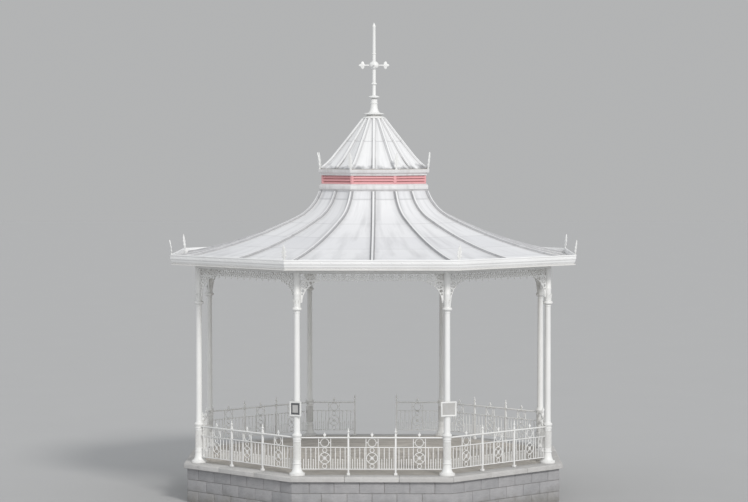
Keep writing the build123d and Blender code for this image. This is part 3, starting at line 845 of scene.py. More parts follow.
@dataclass
class Effects:
    """The shared effects, each made once."""

    streaks: Effect = field(default_factory=rain_streaks)
    dust: Effect = field(default_factory=settled_dust)
    wear: Effect = field(default_factory=edge_wear)
    grime_and_shade: Effect = field(default_factory=recess_grime_and_shade)
    spots: Effect = field(default_factory=spots)
    mottle: Effect = field(default_factory=mottle)
    damp: Effect = field(default_factory=damp_foot)
    boards: Effect = field(default_factory=side_boards)
    seams: Effect = field(default_factory=radial_seams)


class Recipe(Wiring):
    """One material while its coats are laid."""

    colour: NodeSocket

    def __init__(self, name: str) -> None:
        """Start a material with a plain shader.

        Args:
            name: Name of the material.
        """
        self.material = bpy.data.materials.new(name)
        self.material.use_nodes = True
        super().__init__(self.material.node_tree)
        self.shader = self.tree.nodes["Principled BSDF"]

    def effect(self, effect: Effect, output: str = "Mask", **inputs: float) -> NodeSocket:
        """Place a shared effect.

        Args:
            effect: The effect.
            output: The output that is wanted.
            inputs: Its input values.

        Returns:
            The output's socket.
        """
        return self.node("ShaderNodeGroup", inputs, node_tree=effect.tree).outputs[output]

    def coat(self, mask: NodeSocket, colour: Colour, share: float = 1.0) -> None:
        """Lay a colour over what is there.

        Args:
            mask: Where it lies.
            colour: The colour.
            share: How well it covers.
        """
        if share != 1.0:
            mask = self.times(mask, share)
        self.colour = self.mix(mask, self.colour, colour)

    def relief(self, height: NodeSocket, strength: float, distance: float) -> None:
        """Raise the surface by a height."""
        inputs = {"Strength": strength, "Distance": distance, "Height": height}
        self.feed(self.shader.inputs["Normal"], self.node("ShaderNodeBump", inputs).outputs["Normal"])

    def finish(self, roughness: NodeSocket) -> None:
        """Give the shader the colour and the roughness."""
        self.feed(self.shader.inputs["Base Color"], self.colour)
        self.feed(self.shader.inputs["Roughness"], roughness)


# Finishes

def toned(colour: Colour, factor: float) -> Colour:
    """Darken or lighten a colour, up to white."""
    return tuple(min(channel * factor, 1.0) for channel in colour)


@dataclass(frozen=True)
class Finish:
    """A named finish."""

    name: str

    def lay(self, recipe: Recipe, effects: Effects) -> None:
        """Lay the coats.

        Args:
            recipe: The material to lay them in.
            effects: The shared effects.
        """
        raise NotImplementedError

    def material(self, effects: Effects) -> Material:
        """Make the material.

        Args:
            effects: The shared effects.

        Returns:
            The material.
        """
        recipe = Recipe(self.name)
        self.lay(recipe, effects)
        return recipe.material


@dataclass(frozen=True)
class OilPaint(Finish):
    """Oil paint on cast iron or planed timber, weathered outdoors."""

    colour: Colour
    undercoat: Colour = (0.42, 0.40, 0.37)
    soot: Colour = (0.36, 0.35, 0.33)
    rust: Colour = (0.30, 0.13, 0.06)
    roughness: float = 0.38
    streaks: float = 0.30
    wear: float = 0.55
    rusting: float = 0.25
    dust: float = 0.45
    grain: float = 60.0
    relief: float = 0.0012
    # Cover of grime and painted shade in recesses and between parts.
    grime_and_shade: float = 0.42
    boards: float = 0.0

    def lay(self, recipe: Recipe, effects: Effects) -> None:
        """Lay paint, dirt, grime with painted shade in recesses, bare edges and rust.

        Args:
            recipe: The material to lay them in.
            effects: The shared effects.
        """
        tone = recipe.effect(effects.mottle, "Tone", Scale=1.6, Fine=self.grain)
        recipe.colour = recipe.mix(tone, toned(self.colour, 0.93), self.colour)
        streak = recipe.effect(effects.streaks, Scale=9.0, Cover=self.streaks)
        recipe.coat(streak, self.soot, share=0.30)
        dust = recipe.effect(effects.dust, Scale=5.0, Cover=self.dust)
        recipe.coat(dust, self.soot, share=0.35)
        if self.boards:
            gap = recipe.effect(effects.boards, "Joint", Spacing=self.boards, Joint=0.006)
            recipe.coat(gap, self.soot, share=0.7)
        # Painted shade: recesses and gaps between parts darkened in the soot colour, with patchy grime.
        recipe.coat(recipe.effect(effects.grime_and_shade, Cover=self.grime_and_shade), self.soot)
        worn = recipe.effect(effects.wear, Scale=22.0, Cover=self.wear)
        recipe.coat(worn, self.undercoat)
        rust = recipe.effect(effects.spots, Scale=14.0, Cover=self.rusting)
        recipe.coat(rust, self.rust, share=0.75)
        height = recipe.effect(effects.mottle, "Height", Scale=1.6, Fine=self.grain)
        recipe.relief(recipe.less(height, recipe.times(worn, 0.6)), 0.35, self.relief)
        rough = recipe.math("ADD", self.roughness, recipe.times(dust, 0.4))
        recipe.finish(recipe.math("ADD", rough, recipe.times(worn, 0.3)))


@dataclass(frozen=True)
class RoofSheet(Finish):
    """Pale sheet metal above and painted boards below, with painted shadow and highlight at the rolls, and
    a dark band at the foot where one is given.
    """

    name: str = "roof_sheet_weathered"
    colour: Colour = (0.77, 0.77, 0.78)
    dull: Colour = (0.68, 0.68, 0.70)
    seam: Colour = (0.46, 0.46, 0.47)
    soot: Colour = (0.44, 0.44, 0.45)
    # Painted shadow beside the rolls' feet: its dark colour and its share; the colour also darkens the
    # band at the cap roof's foot.
    foot: Colour = (0.15, 0.15, 0.16)
    roll_shadow_share: float = 0.62
    # Painted highlight along the tops of the rolls.
    roll_highlight: Colour = (0.82, 0.82, 0.82)
    boards: Colour = (0.70, 0.68, 0.62)
    board_joint: Colour = (0.18, 0.16, 0.13)
    sheet: float = 0.62
    board: float = 0.13
    # Share of grime and painted shade in the broad band beside the rolls.
    seam_grime_and_shade_share: float = 0.45
    dark_foot_level: float | None = None

    def metal(self, recipe: Recipe, effects: Effects, mixed: NodeSocket, lap: NodeSocket) -> None:
        """Lay the upper side: sheets, runs of soot, laps, grime and painted shade beside the rolls,
        painted shadow lines at their feet and a painted highlight along their tops.

        Args:
            recipe: The material to lay them in.
            effects: The shared effects.
            mixed: Tone of the sheets.
            lap: Where two sheets lap.
        """
        recipe.colour = recipe.mix(mixed, self.dull, self.colour)
        run = recipe.effect(effects.seams, "Run", Ragged=0.0)
        recipe.coat(recipe.spread(run, 0.48, 0.72), self.soot, share=0.42)
        recipe.coat(lap, self.seam, share=0.5)
        aside = recipe.effect(effects.seams, "Distance", Ragged=0.10)
        # Grime and painted shade in a broad ragged band beside the rolls.
        recipe.coat(recipe.spread(aside, 0.16, 0.03), self.seam, share=self.seam_grime_and_shade_share)
        beside = recipe.effect(effects.seams, "Distance", Ragged=0.006)
        # Painted shadow: a dark narrow line on each side of every roll's foot.
        foot = recipe.times(recipe.spread(beside, 0.058, 0.046), recipe.spread(beside, 0.019, 0.026))
        recipe.coat(foot, self.foot, share=self.roll_shadow_share)
        # Painted highlight: a pale line along each roll's top.
        recipe.coat(recipe.spread(beside, 0.022, 0.016), self.roll_highlight, share=0.7)
        # Darker ragged band at the foot of the cap roof, just above the cornice.
        if self.dark_foot_level is not None:
            level = recipe.axes(recipe.place())[2]
            ragged = recipe.math("ADD", level, recipe.patches(5.0, 3.0, 0.32, 0.68, -0.06, 0.08))
            dirt = recipe.spread(ragged, self.dark_foot_level + 0.10, self.dark_foot_level)
            recipe.coat(dirt, self.foot, share=0.75)

    def lay(self, recipe: Recipe, effects: Effects) -> None:
        """Lay metal on the upper side and boards on the lower.

        Args:
            recipe: The material to lay them in.
            effects: The shared effects.
        """
        slow = recipe.effect(effects.mottle, "Tone", Scale=0.7, Fine=40.0)
        sheet_tone = recipe.effect(effects.boards, "Tone", Spacing=self.sheet, Joint=0.012)
        lap = recipe.effect(effects.boards, "Joint", Spacing=self.sheet, Joint=0.012)
        mixed = recipe.times(recipe.math("ADD", slow, sheet_tone), 0.5)
        self.metal(recipe, effects, mixed, lap)
        metal = recipe.colour
        board_tone = recipe.effect(effects.boards, "Tone", Spacing=self.board, Joint=0.008)
        gap = recipe.effect(effects.boards, "Joint", Spacing=self.board, Joint=0.008)
        recipe.colour = recipe.mix(board_tone, toned(self.boards, 0.84), self.boards)
        recipe.coat(gap, self.board_joint, share=0.75)
        above = recipe.spread(recipe.facing_up(), -0.02, 0.02)
        recipe.colour = recipe.mix(above, recipe.colour, metal)
        below = recipe.less(1.0, above)
        joints = recipe.math("ADD", recipe.times(lap, above), recipe.times(gap, below))
        fine = recipe.effect(effects.mottle, "Height", Scale=1.1, Fine=30.0)
        recipe.relief(recipe.less(recipe.times(fine, 0.3), joints), 0.6, 0.004)
        recipe.finish(recipe.spread(mixed, 0.0, 1.0, 0.76, 0.62))


@dataclass(frozen=True)
class CutStone(Finish):
    """Dressed stone, each block with its own tone."""

    colour: Colour
    shade: Colour
    damp: Colour = (0.16, 0.15, 0.12)
    lichen: Colour = (0.46, 0.45, 0.30)
    damp_height: float = 0.35
    lichen_cover: float = 0.3
    soot: float = 0.4
    grain: float = 150.0

    def lay(self, recipe: Recipe, effects: Effects) -> None:
        """Lay the bed and grain of the stone, then soot, damp, lichen and worn edges.

        Args:
            recipe: The material to lay them in.
            effects: The shared effects.
        """
        slow = recipe.effect(effects.mottle, "Tone", Scale=5.0, Fine=70.0)
        mixed = recipe.times(recipe.math("ADD", recipe.attribute("tone", "Fac"), slow), 0.5)
        recipe.colour = recipe.mix(mixed, self.shade, self.colour)
        place = recipe.place()
        bed = recipe.noise(recipe.mapped(place, (1.0, 1.0, 6.0)), 9.0, 8.0)
        dark, light = toned(self.shade, 0.72), toned(self.colour, 1.22)
        recipe.coat(recipe.spread(bed, 0.5, 0.8, end=0.45), dark)
        sand = recipe.noise(place, self.grain, 2.0)
        recipe.coat(recipe.spread(sand, 0.52, 0.70, end=0.5), dark)
        recipe.coat(recipe.spread(sand, 0.44, 0.30, end=0.6), light)
        recipe.coat(recipe.effect(effects.streaks, Scale=4.0, Cover=self.soot), dark, share=0.4)
        damp = recipe.effect(effects.damp, Height=self.damp_height, Scale=4.0)
        recipe.coat(damp, self.damp, share=0.55)
        lichen = recipe.effect(effects.spots, Scale=26.0, Cover=self.lichen_cover)
        recipe.coat(lichen, self.lichen, share=0.6)
        recipe.coat(recipe.effect(effects.wear, Scale=14.0, Cover=0.6), self.colour, share=0.5)
        pits = recipe.node("ShaderNodeTexVoronoi", {"Vector": place, "Scale": 120.0}).outputs["Distance"]
        pit = recipe.spread(pits, 0.22, 0.05)
        fine = recipe.effect(effects.mottle, "Height", Scale=5.0, Fine=38.0)
        recipe.relief(recipe.less(fine, recipe.times(pit, 0.5)), 0.9, 0.008)
        recipe.finish(recipe.spread(mixed, 0.0, 1.0, 0.92, 0.78))


@dataclass(frozen=True)
class WornTimber(Finish):
    """Bare or tarred timber with its grain along each board."""

    colour: Colour
    dark: Colour
    lay_marked: bool = True
    scale: Point = (1.2, 26.0, 26.0)

    def lay(self, recipe: Recipe, effects: Effects) -> None:
        """Lay rings, the boards' tones, dirt and worn edges.

        Args:
            recipe: The material to lay them in.
            effects: The shared effects.
        """
        place = recipe.attribute("lay", "Vector") if self.lay_marked else recipe.place()
        ripple = recipe.noise(recipe.mapped(place, self.scale), 1.4, 7.0)
        rings = recipe.math("FRACT", recipe.times(ripple, 7.0))
        line = recipe.spread(recipe.math("PINGPONG", rings, 0.5), 0.0, 0.28)
        recipe.colour = recipe.mix(recipe.spread(line, 0.0, 1.0, start=0.35), self.dark, self.colour)
        if self.lay_marked:
            recipe.coat(recipe.attribute("tone", "Fac"), toned(self.colour, 1.35), share=0.55)
        dirt = recipe.effect(effects.mottle, "Tone", Scale=2.3, Fine=60.0)
        recipe.coat(dirt, self.dark, share=0.35)
        recipe.coat(recipe.effect(effects.wear, Scale=12.0, Cover=0.7), self.colour, share=0.5)
        fine = recipe.effect(effects.mottle, "Height", Scale=2.3, Fine=90.0)
        recipe.relief(recipe.math("ADD", line, recipe.times(fine, 0.3)), 0.45, 0.002)
        recipe.finish(recipe.spread(line, 0.0, 1.0, 0.82, 0.66))


@dataclass(frozen=True)
class Brick(Finish):
    """Plain brickwork with lime joints."""

    name: str = "pier_brickwork"
    colour: Colour = (0.34, 0.13, 0.08)
    burnt: Colour = (0.20, 0.08, 0.06)
    lime: Colour = (0.52, 0.49, 0.43)

    def lay(self, recipe: Recipe, effects: Effects) -> None:
        """Lay the courses and their tones.

        Args:
            recipe: The material to lay them in.
            effects: The shared effects.
        """
        x, y, z = recipe.axes(recipe.place())
        courses = recipe.node("ShaderNodeTexBrick", {
            "Vector": recipe.flat(recipe.math("ADD", x, y), z), "Color1": self.colour,
            "Color2": self.burnt, "Mortar": self.lime, "Scale": 1.0, "Mortar Size": 0.006,
            "Brick Width": 0.225, "Row Height": 0.075,
        })
        recipe.colour = courses.outputs["Color"]
        tone = recipe.effect(effects.mottle, "Tone", Scale=9.0, Fine=80.0)
        recipe.coat(tone, self.burnt, share=0.4)
        fine = recipe.effect(effects.mottle, "Height", Scale=9.0, Fine=80.0)
        recipe.relief(recipe.less(fine, courses.outputs["Fac"]), 0.6, 0.004)
        recipe.finish(recipe.spread(tone, 0.0, 1.0, 0.9, 0.8))


@dataclass(frozen=True)
class LimeMortar(Finish):
    """Pointing between the stones."""

    name: str = "lime_mortar"
    colour: Colour = (0.36, 0.35, 0.33)
    dark: Colour = (0.22, 0.21, 0.19)

    def lay(self, recipe: Recipe, effects: Effects) -> None:
        """Lay the mortar and its damp foot.

        Args:
            recipe: The material to lay them in.
            effects: The shared effects.
        """
        tone = recipe.effect(effects.mottle, "Tone", Scale=12.0, Fine=160.0)
        recipe.colour = recipe.mix(tone, self.dark, self.colour)
        recipe.coat(recipe.effect(effects.damp, Height=0.35, Scale=4.0), self.dark, share=0.5)
        recipe.relief(recipe.effect(effects.mottle, "Height", Scale=12.0, Fine=160.0), 0.8, 0.003)
        recipe.finish(recipe.spread(tone, 0.0, 1.0, 0.95, 0.86))


@dataclass(frozen=True)
class BoardPaper(Finish):
    """Plain aged paper or felt on a notice board."""

    name: str = "board_paper"
    colour: Colour = (0.48, 0.477, 0.475)
    aged: Colour = (0.40, 0.388, 0.37)

    def lay(self, recipe: Recipe, effects: Effects) -> None:
        """Lay the sheet, its age, its streaks and its wrinkles.

        Args:
            recipe: The material to lay them in.
            effects: The shared effects.
        """
        tone = recipe.effect(effects.mottle, "Tone", Scale=7.0, Fine=220.0)
        recipe.colour = recipe.mix(recipe.times(tone, 0.7), self.colour, self.aged)
        recipe.coat(recipe.effect(effects.streaks, Scale=16.0, Cover=0.4), self.aged, share=0.4)
        wrinkle = recipe.noise(recipe.mapped(recipe.place(), (9.0, 9.0, 3.0)), 3.0, 6.0)
        recipe.relief(wrinkle, 0.5, 0.003)
        recipe.finish(recipe.spread(tone, 0.0, 1.0, 0.85, 0.7))


class Finishes:
    """All materials of the bandstand, each made once."""

    def __init__(self) -> None:
        """Make the materials."""
        effects = Effects()
        self.iron = OilPaint("white_paint_on_iron", (0.83, 0.83, 0.82)).material(effects)
        self.boarding = OilPaint(
            "white_paint_on_timber", (0.80, 0.80, 0.79), roughness=0.46, rusting=0.0, wear=0.4,
            grain=34.0, relief=0.0018,
        ).material(effects)
        self.gutter = OilPaint(
            "white_paint_on_gutter", (0.87, 0.87, 0.87), roughness=0.42, rusting=0.1, wear=0.35,
            streaks=0.2, dust=0.35, grime_and_shade=0.3,
        ).material(effects)
        self.moulding = OilPaint(
            "white_paint_on_lantern", (0.74, 0.73, 0.735), roughness=0.5, rusting=0.0, wear=0.4,
            streaks=0.6, dust=0.6, grain=34.0, relief=0.0018,
        ).material(effects)
        self.soffit = OilPaint(
            "white_paint_on_soffit", (0.76, 0.75, 0.73), roughness=0.55, rusting=0.0, wear=0.0,
            grain=30.0, relief=0.0018, boards=0.12,
        ).material(effects)
        self.red = OilPaint(
            "red_paint_on_timber", (0.76, 0.38, 0.395), undercoat=(0.78, 0.68, 0.64),
            soot=(0.46, 0.23, 0.23), roughness=0.5, rusting=0.0, wear=0.6,
        ).material(effects)
        self.sheet = RoofSheet().material(effects)
        self.cap_sheet = RoofSheet(
            "cap_sheet_weathered", colour=(0.81, 0.81, 0.81), dull=(0.75, 0.75, 0.76),
            roll_shadow_share=0.24, seam_grime_and_shade_share=0.24, dark_foot_level=7.215,
        ).material(effects)
        self.wall = CutStone("plinth_ashlar", (0.42, 0.412, 0.42), (0.31, 0.31, 0.32)).material(effects)
        self.coping = CutStone(
            "coping_ashlar", (0.58, 0.57, 0.56), (0.46, 0.45, 0.44), damp_height=0.0, lichen_cover=0.45,
        ).material(effects)
        self.mortar = LimeMortar().material(effects)
        self.brick = Brick().material(effects)
        self.deck = WornTimber(
            "deck_boards_bare", (0.52, 0.49, 0.45), (0.26, 0.235, 0.21),
        ).material(effects)
        self.joists = WornTimber(
            "joists_tarred", (0.20, 0.15, 0.11), (0.09, 0.07, 0.05), lay_marked=False,
            scale=(8.0, 8.0, 22.0),
        ).material(effects)
        self.paper = BoardPaper().material(effects)
        self.felt = BoardPaper("board_felt", (0.12, 0.123, 0.13), (0.08, 0.082, 0.085)).material(effects)


# Pieces

@dataclass
class Assembly:
    """A sub-assembly and the materials that dress it."""

    finishes: Finishes


@dataclass
class Masonry(Assembly):
    """The plinth's coursed stones, their mortar and the coping."""

    apothem: float = PLAN.plinth_apothem
    thickness: float = 0.45
    top: float = PLAN.deck - 0.11
    courses: int = 3
    joint: float = 0.008
    mortar_setback: float = 0.014
    mortar_low: float = 0.004
    mortar_drop: float = 0.002
    arris: float = 0.009
    mortar_arris: float = 0.004
    long_bond: tuple[float, ...] = (-1.31, -0.79, -0.26, 0.26, 0.79, 1.31)
    short_bond: tuple[float, ...] = (-1.05, -0.52, 0.0, 0.52, 1.05)
    coping_apothem: float = PLAN.plinth_apothem + 0.075
    coping_inner: float = PLAN.plinth_apothem - PLAN.coping_width
    coping_height: float = 0.11
    coping_stones: int = 3
    coping_joint: float = 0.006
    coping_arris: float = 0.004
    nosing: float = 0.03
    nosing_steps: int = 4
    drip: Outline = (
        (0.045, 0.0), (0.045, 0.012), (0.03, 0.012), (0.03, 0.0), (0.006, 0.0), (0.0, 0.006),
    )
    stone_seed: int = 11
    coping_seed: int = 12

    def stones(self) -> Object:
        """Courses of blocks whose corner stones pass round the corners.

        Returns:
            The stones of all sides.
        """
        height = self.top / self.courses
        end = self.apothem
        blocks = []
        for course in range(self.courses):
            joints = self.long_bond if course % 2 == 0 else self.short_bond
            edges = [-end, *joints, end]
            low, high = height * course, height * (course + 1)
            bottom = low if course == 0 else low + self.joint / 2
            for left, right in zip(edges, edges[1:]):
                near = (left + self.joint / 2, -self.apothem, bottom)
                far = (right - self.joint / 2, self.thickness - self.apothem, high - self.joint / 2)
                blocks.append(block(near, far))
        side = mitred(joined(blocks), fill=False)
        shell = tidy_shell(all_round(side))
        return mark_parts(soften(shell, self.arris, segments=3, angle=40), self.stone_seed)

    def mortar(self) -> Object:
        """The bed behind the joints.

        Returns:
            The bed of all sides.
        """
        outer = self.apothem - self.mortar_setback
        inner = self.apothem - self.thickness + self.mortar_setback
        low, high = self.mortar_low, self.top - self.mortar_drop
        ring = octagon_ring([(inner, low), (outer, low), (outer, high), (inner, high)])
        return soften(ring, self.mortar_arris, segments=1)

    def coping(self) -> Object:
        """Coping stones with a rounded nosing and a drip.

        Returns:
            The coping of all sides.
        """
        face, low, high = -self.coping_apothem, self.top, self.top + self.coping_height
        bend, turns = self.nosing, quarter(self.nosing_steps)
        nosing = [(face + bend - bend * cosine, high - bend + bend * sine) for sine, cosine in turns]
        inner = -self.coping_inner
        section = [(inner, low), *shifted(self.drip, face, low), *nosing, (inner, high)]
        reach = self.coping_apothem * PAST_MITRE
        length = 2 * math.tan(HALF_TURN) * self.coping_apothem / self.coping_stones
        stones = []
        for index in range(self.coping_stones):
            middle = length * (index - (self.coping_stones - 1) / 2)
            half = length / 2 - self.coping_joint / 2
            start = -reach if index == 0 else middle - half
            end = reach if index == self.coping_stones - 1 else middle + half
            stones.append(run_along(section, start, end))
        side = soften(mitred(joined(stones), gap=self.coping_joint), self.coping_arris, angle=50)
        return mark_parts(all_round(side), self.coping_seed)

    def build(self) -> None:
        """Build and dress the stonework."""
        dress = self.finishes
        present(self.stones(), "plinth_stones", dress.wall, Slot.PLINTH, "plinth_wall")
        present(self.mortar(), "plinth_mortar", dress.mortar, Slot.PLINTH, "plinth_wall")
        present(self.coping(), "coping_stones", dress.coping, Slot.COPING, "plinth_coping")


@dataclass
class Steps(Assembly):
    """The entrance flight: stone treads with nosings on risers."""

    count: int = 5
    going: float = 0.3
    width: float = 1.5
    start: float = PLAN.plinth_apothem
    rise: float = PLAN.deck / 5
    tread: float = 0.055
    nosing: float = 0.022
    joint: float = 0.003
    bed: float = 0.002
    arris: float = 0.010
    seed: int = 13

    def flight(self) -> Object:
        """Treads and risers, each in two lengths.

        Returns:
            The flight at the rear bay.
        """
        stones = []
        for step in range(1, self.count):
            front = self.start + self.going * (self.count - step)
            top = self.rise * step
            back = front - self.going - self.nosing
            if step == self.count - 1:
                back = self.start + self.bed
            for side in (-1, 1):
                near, far = sorted((side * self.joint / 2, side * self.width / 2))
                stones.append(block((near, back, top - self.tread), (far, front, top)))
                heart = (near, self.start + self.bed, self.rise * (step - 1))
                face = (far, front - self.nosing, top - self.tread - self.bed)
                stones.append(block(heart, face))
        return mark_parts(soften(joined(stones), self.arris, segments=3, angle=40), self.seed)

    def build(self) -> None:
        """Build and dress the steps."""
        present(self.flight(), "step_stones", self.finishes.coping, Slot.COPING, "entrance_steps")


@dataclass
class Deck(Assembly):
    """Floor boards laid parallel to the sides, over the joists."""

    apothem: float = PLAN.plinth_apothem - PLAN.coping_width
    top: float = PLAN.deck
    thickness: float = 0.04
    boards: int = 29
    gap: float = 0.005
    mitre: float = 0.002
    arris: float = 0.003
    board_seed: int = 21
    centre_seed: int = 22

    def sector(self) -> Object:
        """The boards of the front sector.

        Returns:
            The boards, joined.
        """
        width = self.apothem / self.boards
        boards = []
        for index in range(1, self.boards):
            outer, inner = width * (index + 1), width * index + self.gap
            reach = outer * PAST_MITRE
            boards.append(block((-reach, -outer, self.top - self.thickness), (reach, -inner, self.top)))
        return soften(mitred(joined(boards), gap=self.mitre), self.arris, angle=40)

    def centre(self) -> Object:
        """The eight-sided piece in the middle.

        Returns:
            The piece.
        """
        corner = self.apothem / self.boards * CORNER_STRETCH
        low, high = self.top - self.thickness, self.top
        disc = lathe([(0, low), (corner, low), (corner, high), (0, high)], SIDES, start=HALF_TURN)
        return soften(disc, self.arris, angle=40)

    def build(self) -> None:
        """Build and dress the deck."""
        boards = all_round(mark_parts(self.sector(), self.board_seed))
        deck = joined([boards, mark_parts(self.centre(), self.centre_seed)])
        present(deck, "deck_boards", self.finishes.deck, Slot.BOARDS, "stage_floor")


@dataclass
class Column(Assembly):
    """A cast column: bolted foot, bell, fluted pedestal, shaft, annulet and leafed neck."""

    circle: float = PLAN.column_circle
    deck: float = PLAN.deck
    top: float = PLAN.beam_low
    steps: int = 32
    foot: Outline = ((0.0, 0.0), (0.165, 0.0), (0.165, 0.036), (0.160, 0.042), (0.152, 0.042))
    bell_low: Pair = (0.152, 0.050)
    bell_size: Pair = (0.066, 0.180)
    base: Outline = (
        (0.092, 0.236), (0.096, 0.246), (0.092, 0.256), (0.084, 0.262), (0.084, 0.300),
    )
    flute_radius: float = 0.084
    flute_low: float = 0.33
    flute_high: float = 0.70
    flute_depth: float = 0.007
    flute_margin: float = 0.003
    body: Outline = (
        (0.084, 0.740), (0.092, 0.750), (0.092, 0.768), (0.084, 0.776), (0.086, 0.800), (0.098, 0.820),
        (0.102, 0.828), (0.102, 0.852), (0.096, 0.862), (0.080, 0.872), (0.073, 0.888), (0.069, 0.905),
        (0.0675, 1.2), (0.065, 2.2), (0.0615, 3.2), (0.060, 3.40), (0.066, 3.408), (0.066, 3.424),
        (0.062, 3.432), (0.070, 3.452), (0.094, 3.460), (0.104, 3.476), (0.106, 3.487), (0.104, 3.498),
        (0.094, 3.514), (0.078, 3.522), (0.071, 3.540), (0.070, 3.760), (0.074, 3.790), (0.074, 3.806),
        (0.070, 3.812), (0.070, 4.02), (0.074, 4.06),
    )
    neck: float = 0.074
    bolts: int = 8
    bolt_circle: float = 0.149935
    bolt_level: float = 0.049
    bolt_radius: float = 0.010
    bolt_height: float = 0.016
    bolt_arris: float = 0.0015
    leaves: int = 8
    leaf_low: float = 3.53
    leaf_height: float = 0.152
    leaf_half: Outline = (
        (0.015, 0.0), (0.021, 0.04), (0.024, 0.08), (0.023, 0.112), (0.017, 0.138), (0.007, 0.152),
    )
    leaf_depth: float = 0.010
    leaf_arris: float = 0.002
    leaf_curl: float = 5.0
    leaf_lean: float = 0.016
    leaf_circle: float = 0.070

    @property
    def centre(self) -> Pair:
        """Place of the first column's axis."""
        return self.circle * math.cos(LEFT_CORNER), self.circle * math.sin(LEFT_CORNER)

    def profile(self) -> list[Pair]:
        """Outline as (radius, height above the ground), from the foot up.

        Returns:
            The points.
        """
        (radius, low), (flare, rise) = self.bell_low, self.bell_size
        bell = [(radius - flare * sine, low + rise * (1 - cosine)) for sine, cosine in quarter(BEND_STEPS)]
        flutes = [(self.flute_radius, self.flute_low), (self.flute_radius, self.flute_high)]
        head = [(self.neck, self.top - self.deck), (0.0, self.top - self.deck)]
        return shifted([*self.foot, *bell, *self.base, *flutes, *self.body, *head], 0.0, self.deck)

    def shaft(self) -> Object:
        """The turned body with flutes sunk round the pedestal.

        Returns:
            The body of the first column.
        """
        body = lathe(self.profile(), self.steps, self.centre, FRONT)
        with editing(body):
            bpy.ops.mesh.select_mode(type="FACE")
            bpy.ops.mesh.select_all(action="DESELECT")
        for polygon in body.data.polygons:
            polygon.select = self.flute_low < polygon.center.z - self.deck < self.flute_high
        bpy.ops.object.mode_set(mode="EDIT")
        bpy.ops.mesh.inset(thickness=self.flute_margin, depth=-self.flute_depth, use_individual=True)
        bpy.ops.object.mode_set(mode="OBJECT")
        return body

    def foot_bolts(self) -> list[Object]:
        """Hexagonal nuts on the foot's flange.

        Returns:
            The nuts.
        """
        nut = primitive(
            bpy.ops.mesh.primitive_cylinder_add, vertices=6, radius=self.bolt_radius,
            depth=self.bolt_height,
        )
        x, y = self.centre
        angles = [math.tau * index / self.bolts for index in range(self.bolts)]
        ring, level = self.bolt_circle, self.deck + self.bolt_level
        places = [(x + ring * math.cos(angle), y + ring * math.sin(angle), level) for angle in angles]
        return set_out(soften(nut, self.bolt_arris, segments=1), at(places))

    def neck_leaves(self) -> list[Object]:
        """Round-headed leaves that stand round the neck above the annulet.

        Returns:
            The leaves.
        """
        base = self.deck + self.leaf_low
        leaf = plate(shifted(mirrored(self.leaf_half), 0.0, base), self.leaf_depth)
        soften(leaf, self.leaf_arris, segments=1)
        for vertex in leaf.data.vertices:
            up = (vertex.co.z - base) / self.leaf_height
            vertex.co.y += self.leaf_curl * vertex.co.x ** 2 - self.leaf_lean * up ** 3
        moved(leaf, Matrix.Translation((0, -self.leaf_circle, 0)))
        return set_out(leaf, whorl(self.leaves, "Z", Matrix.Translation((*self.centre, 0))))

    def build(self) -> None:
        """Build the first column and turn it to all corners."""
        first = joined([self.shaft(), *self.foot_bolts(), *self.neck_leaves()])
        present_castings([first] * SIDES, "column", self.finishes.iron)


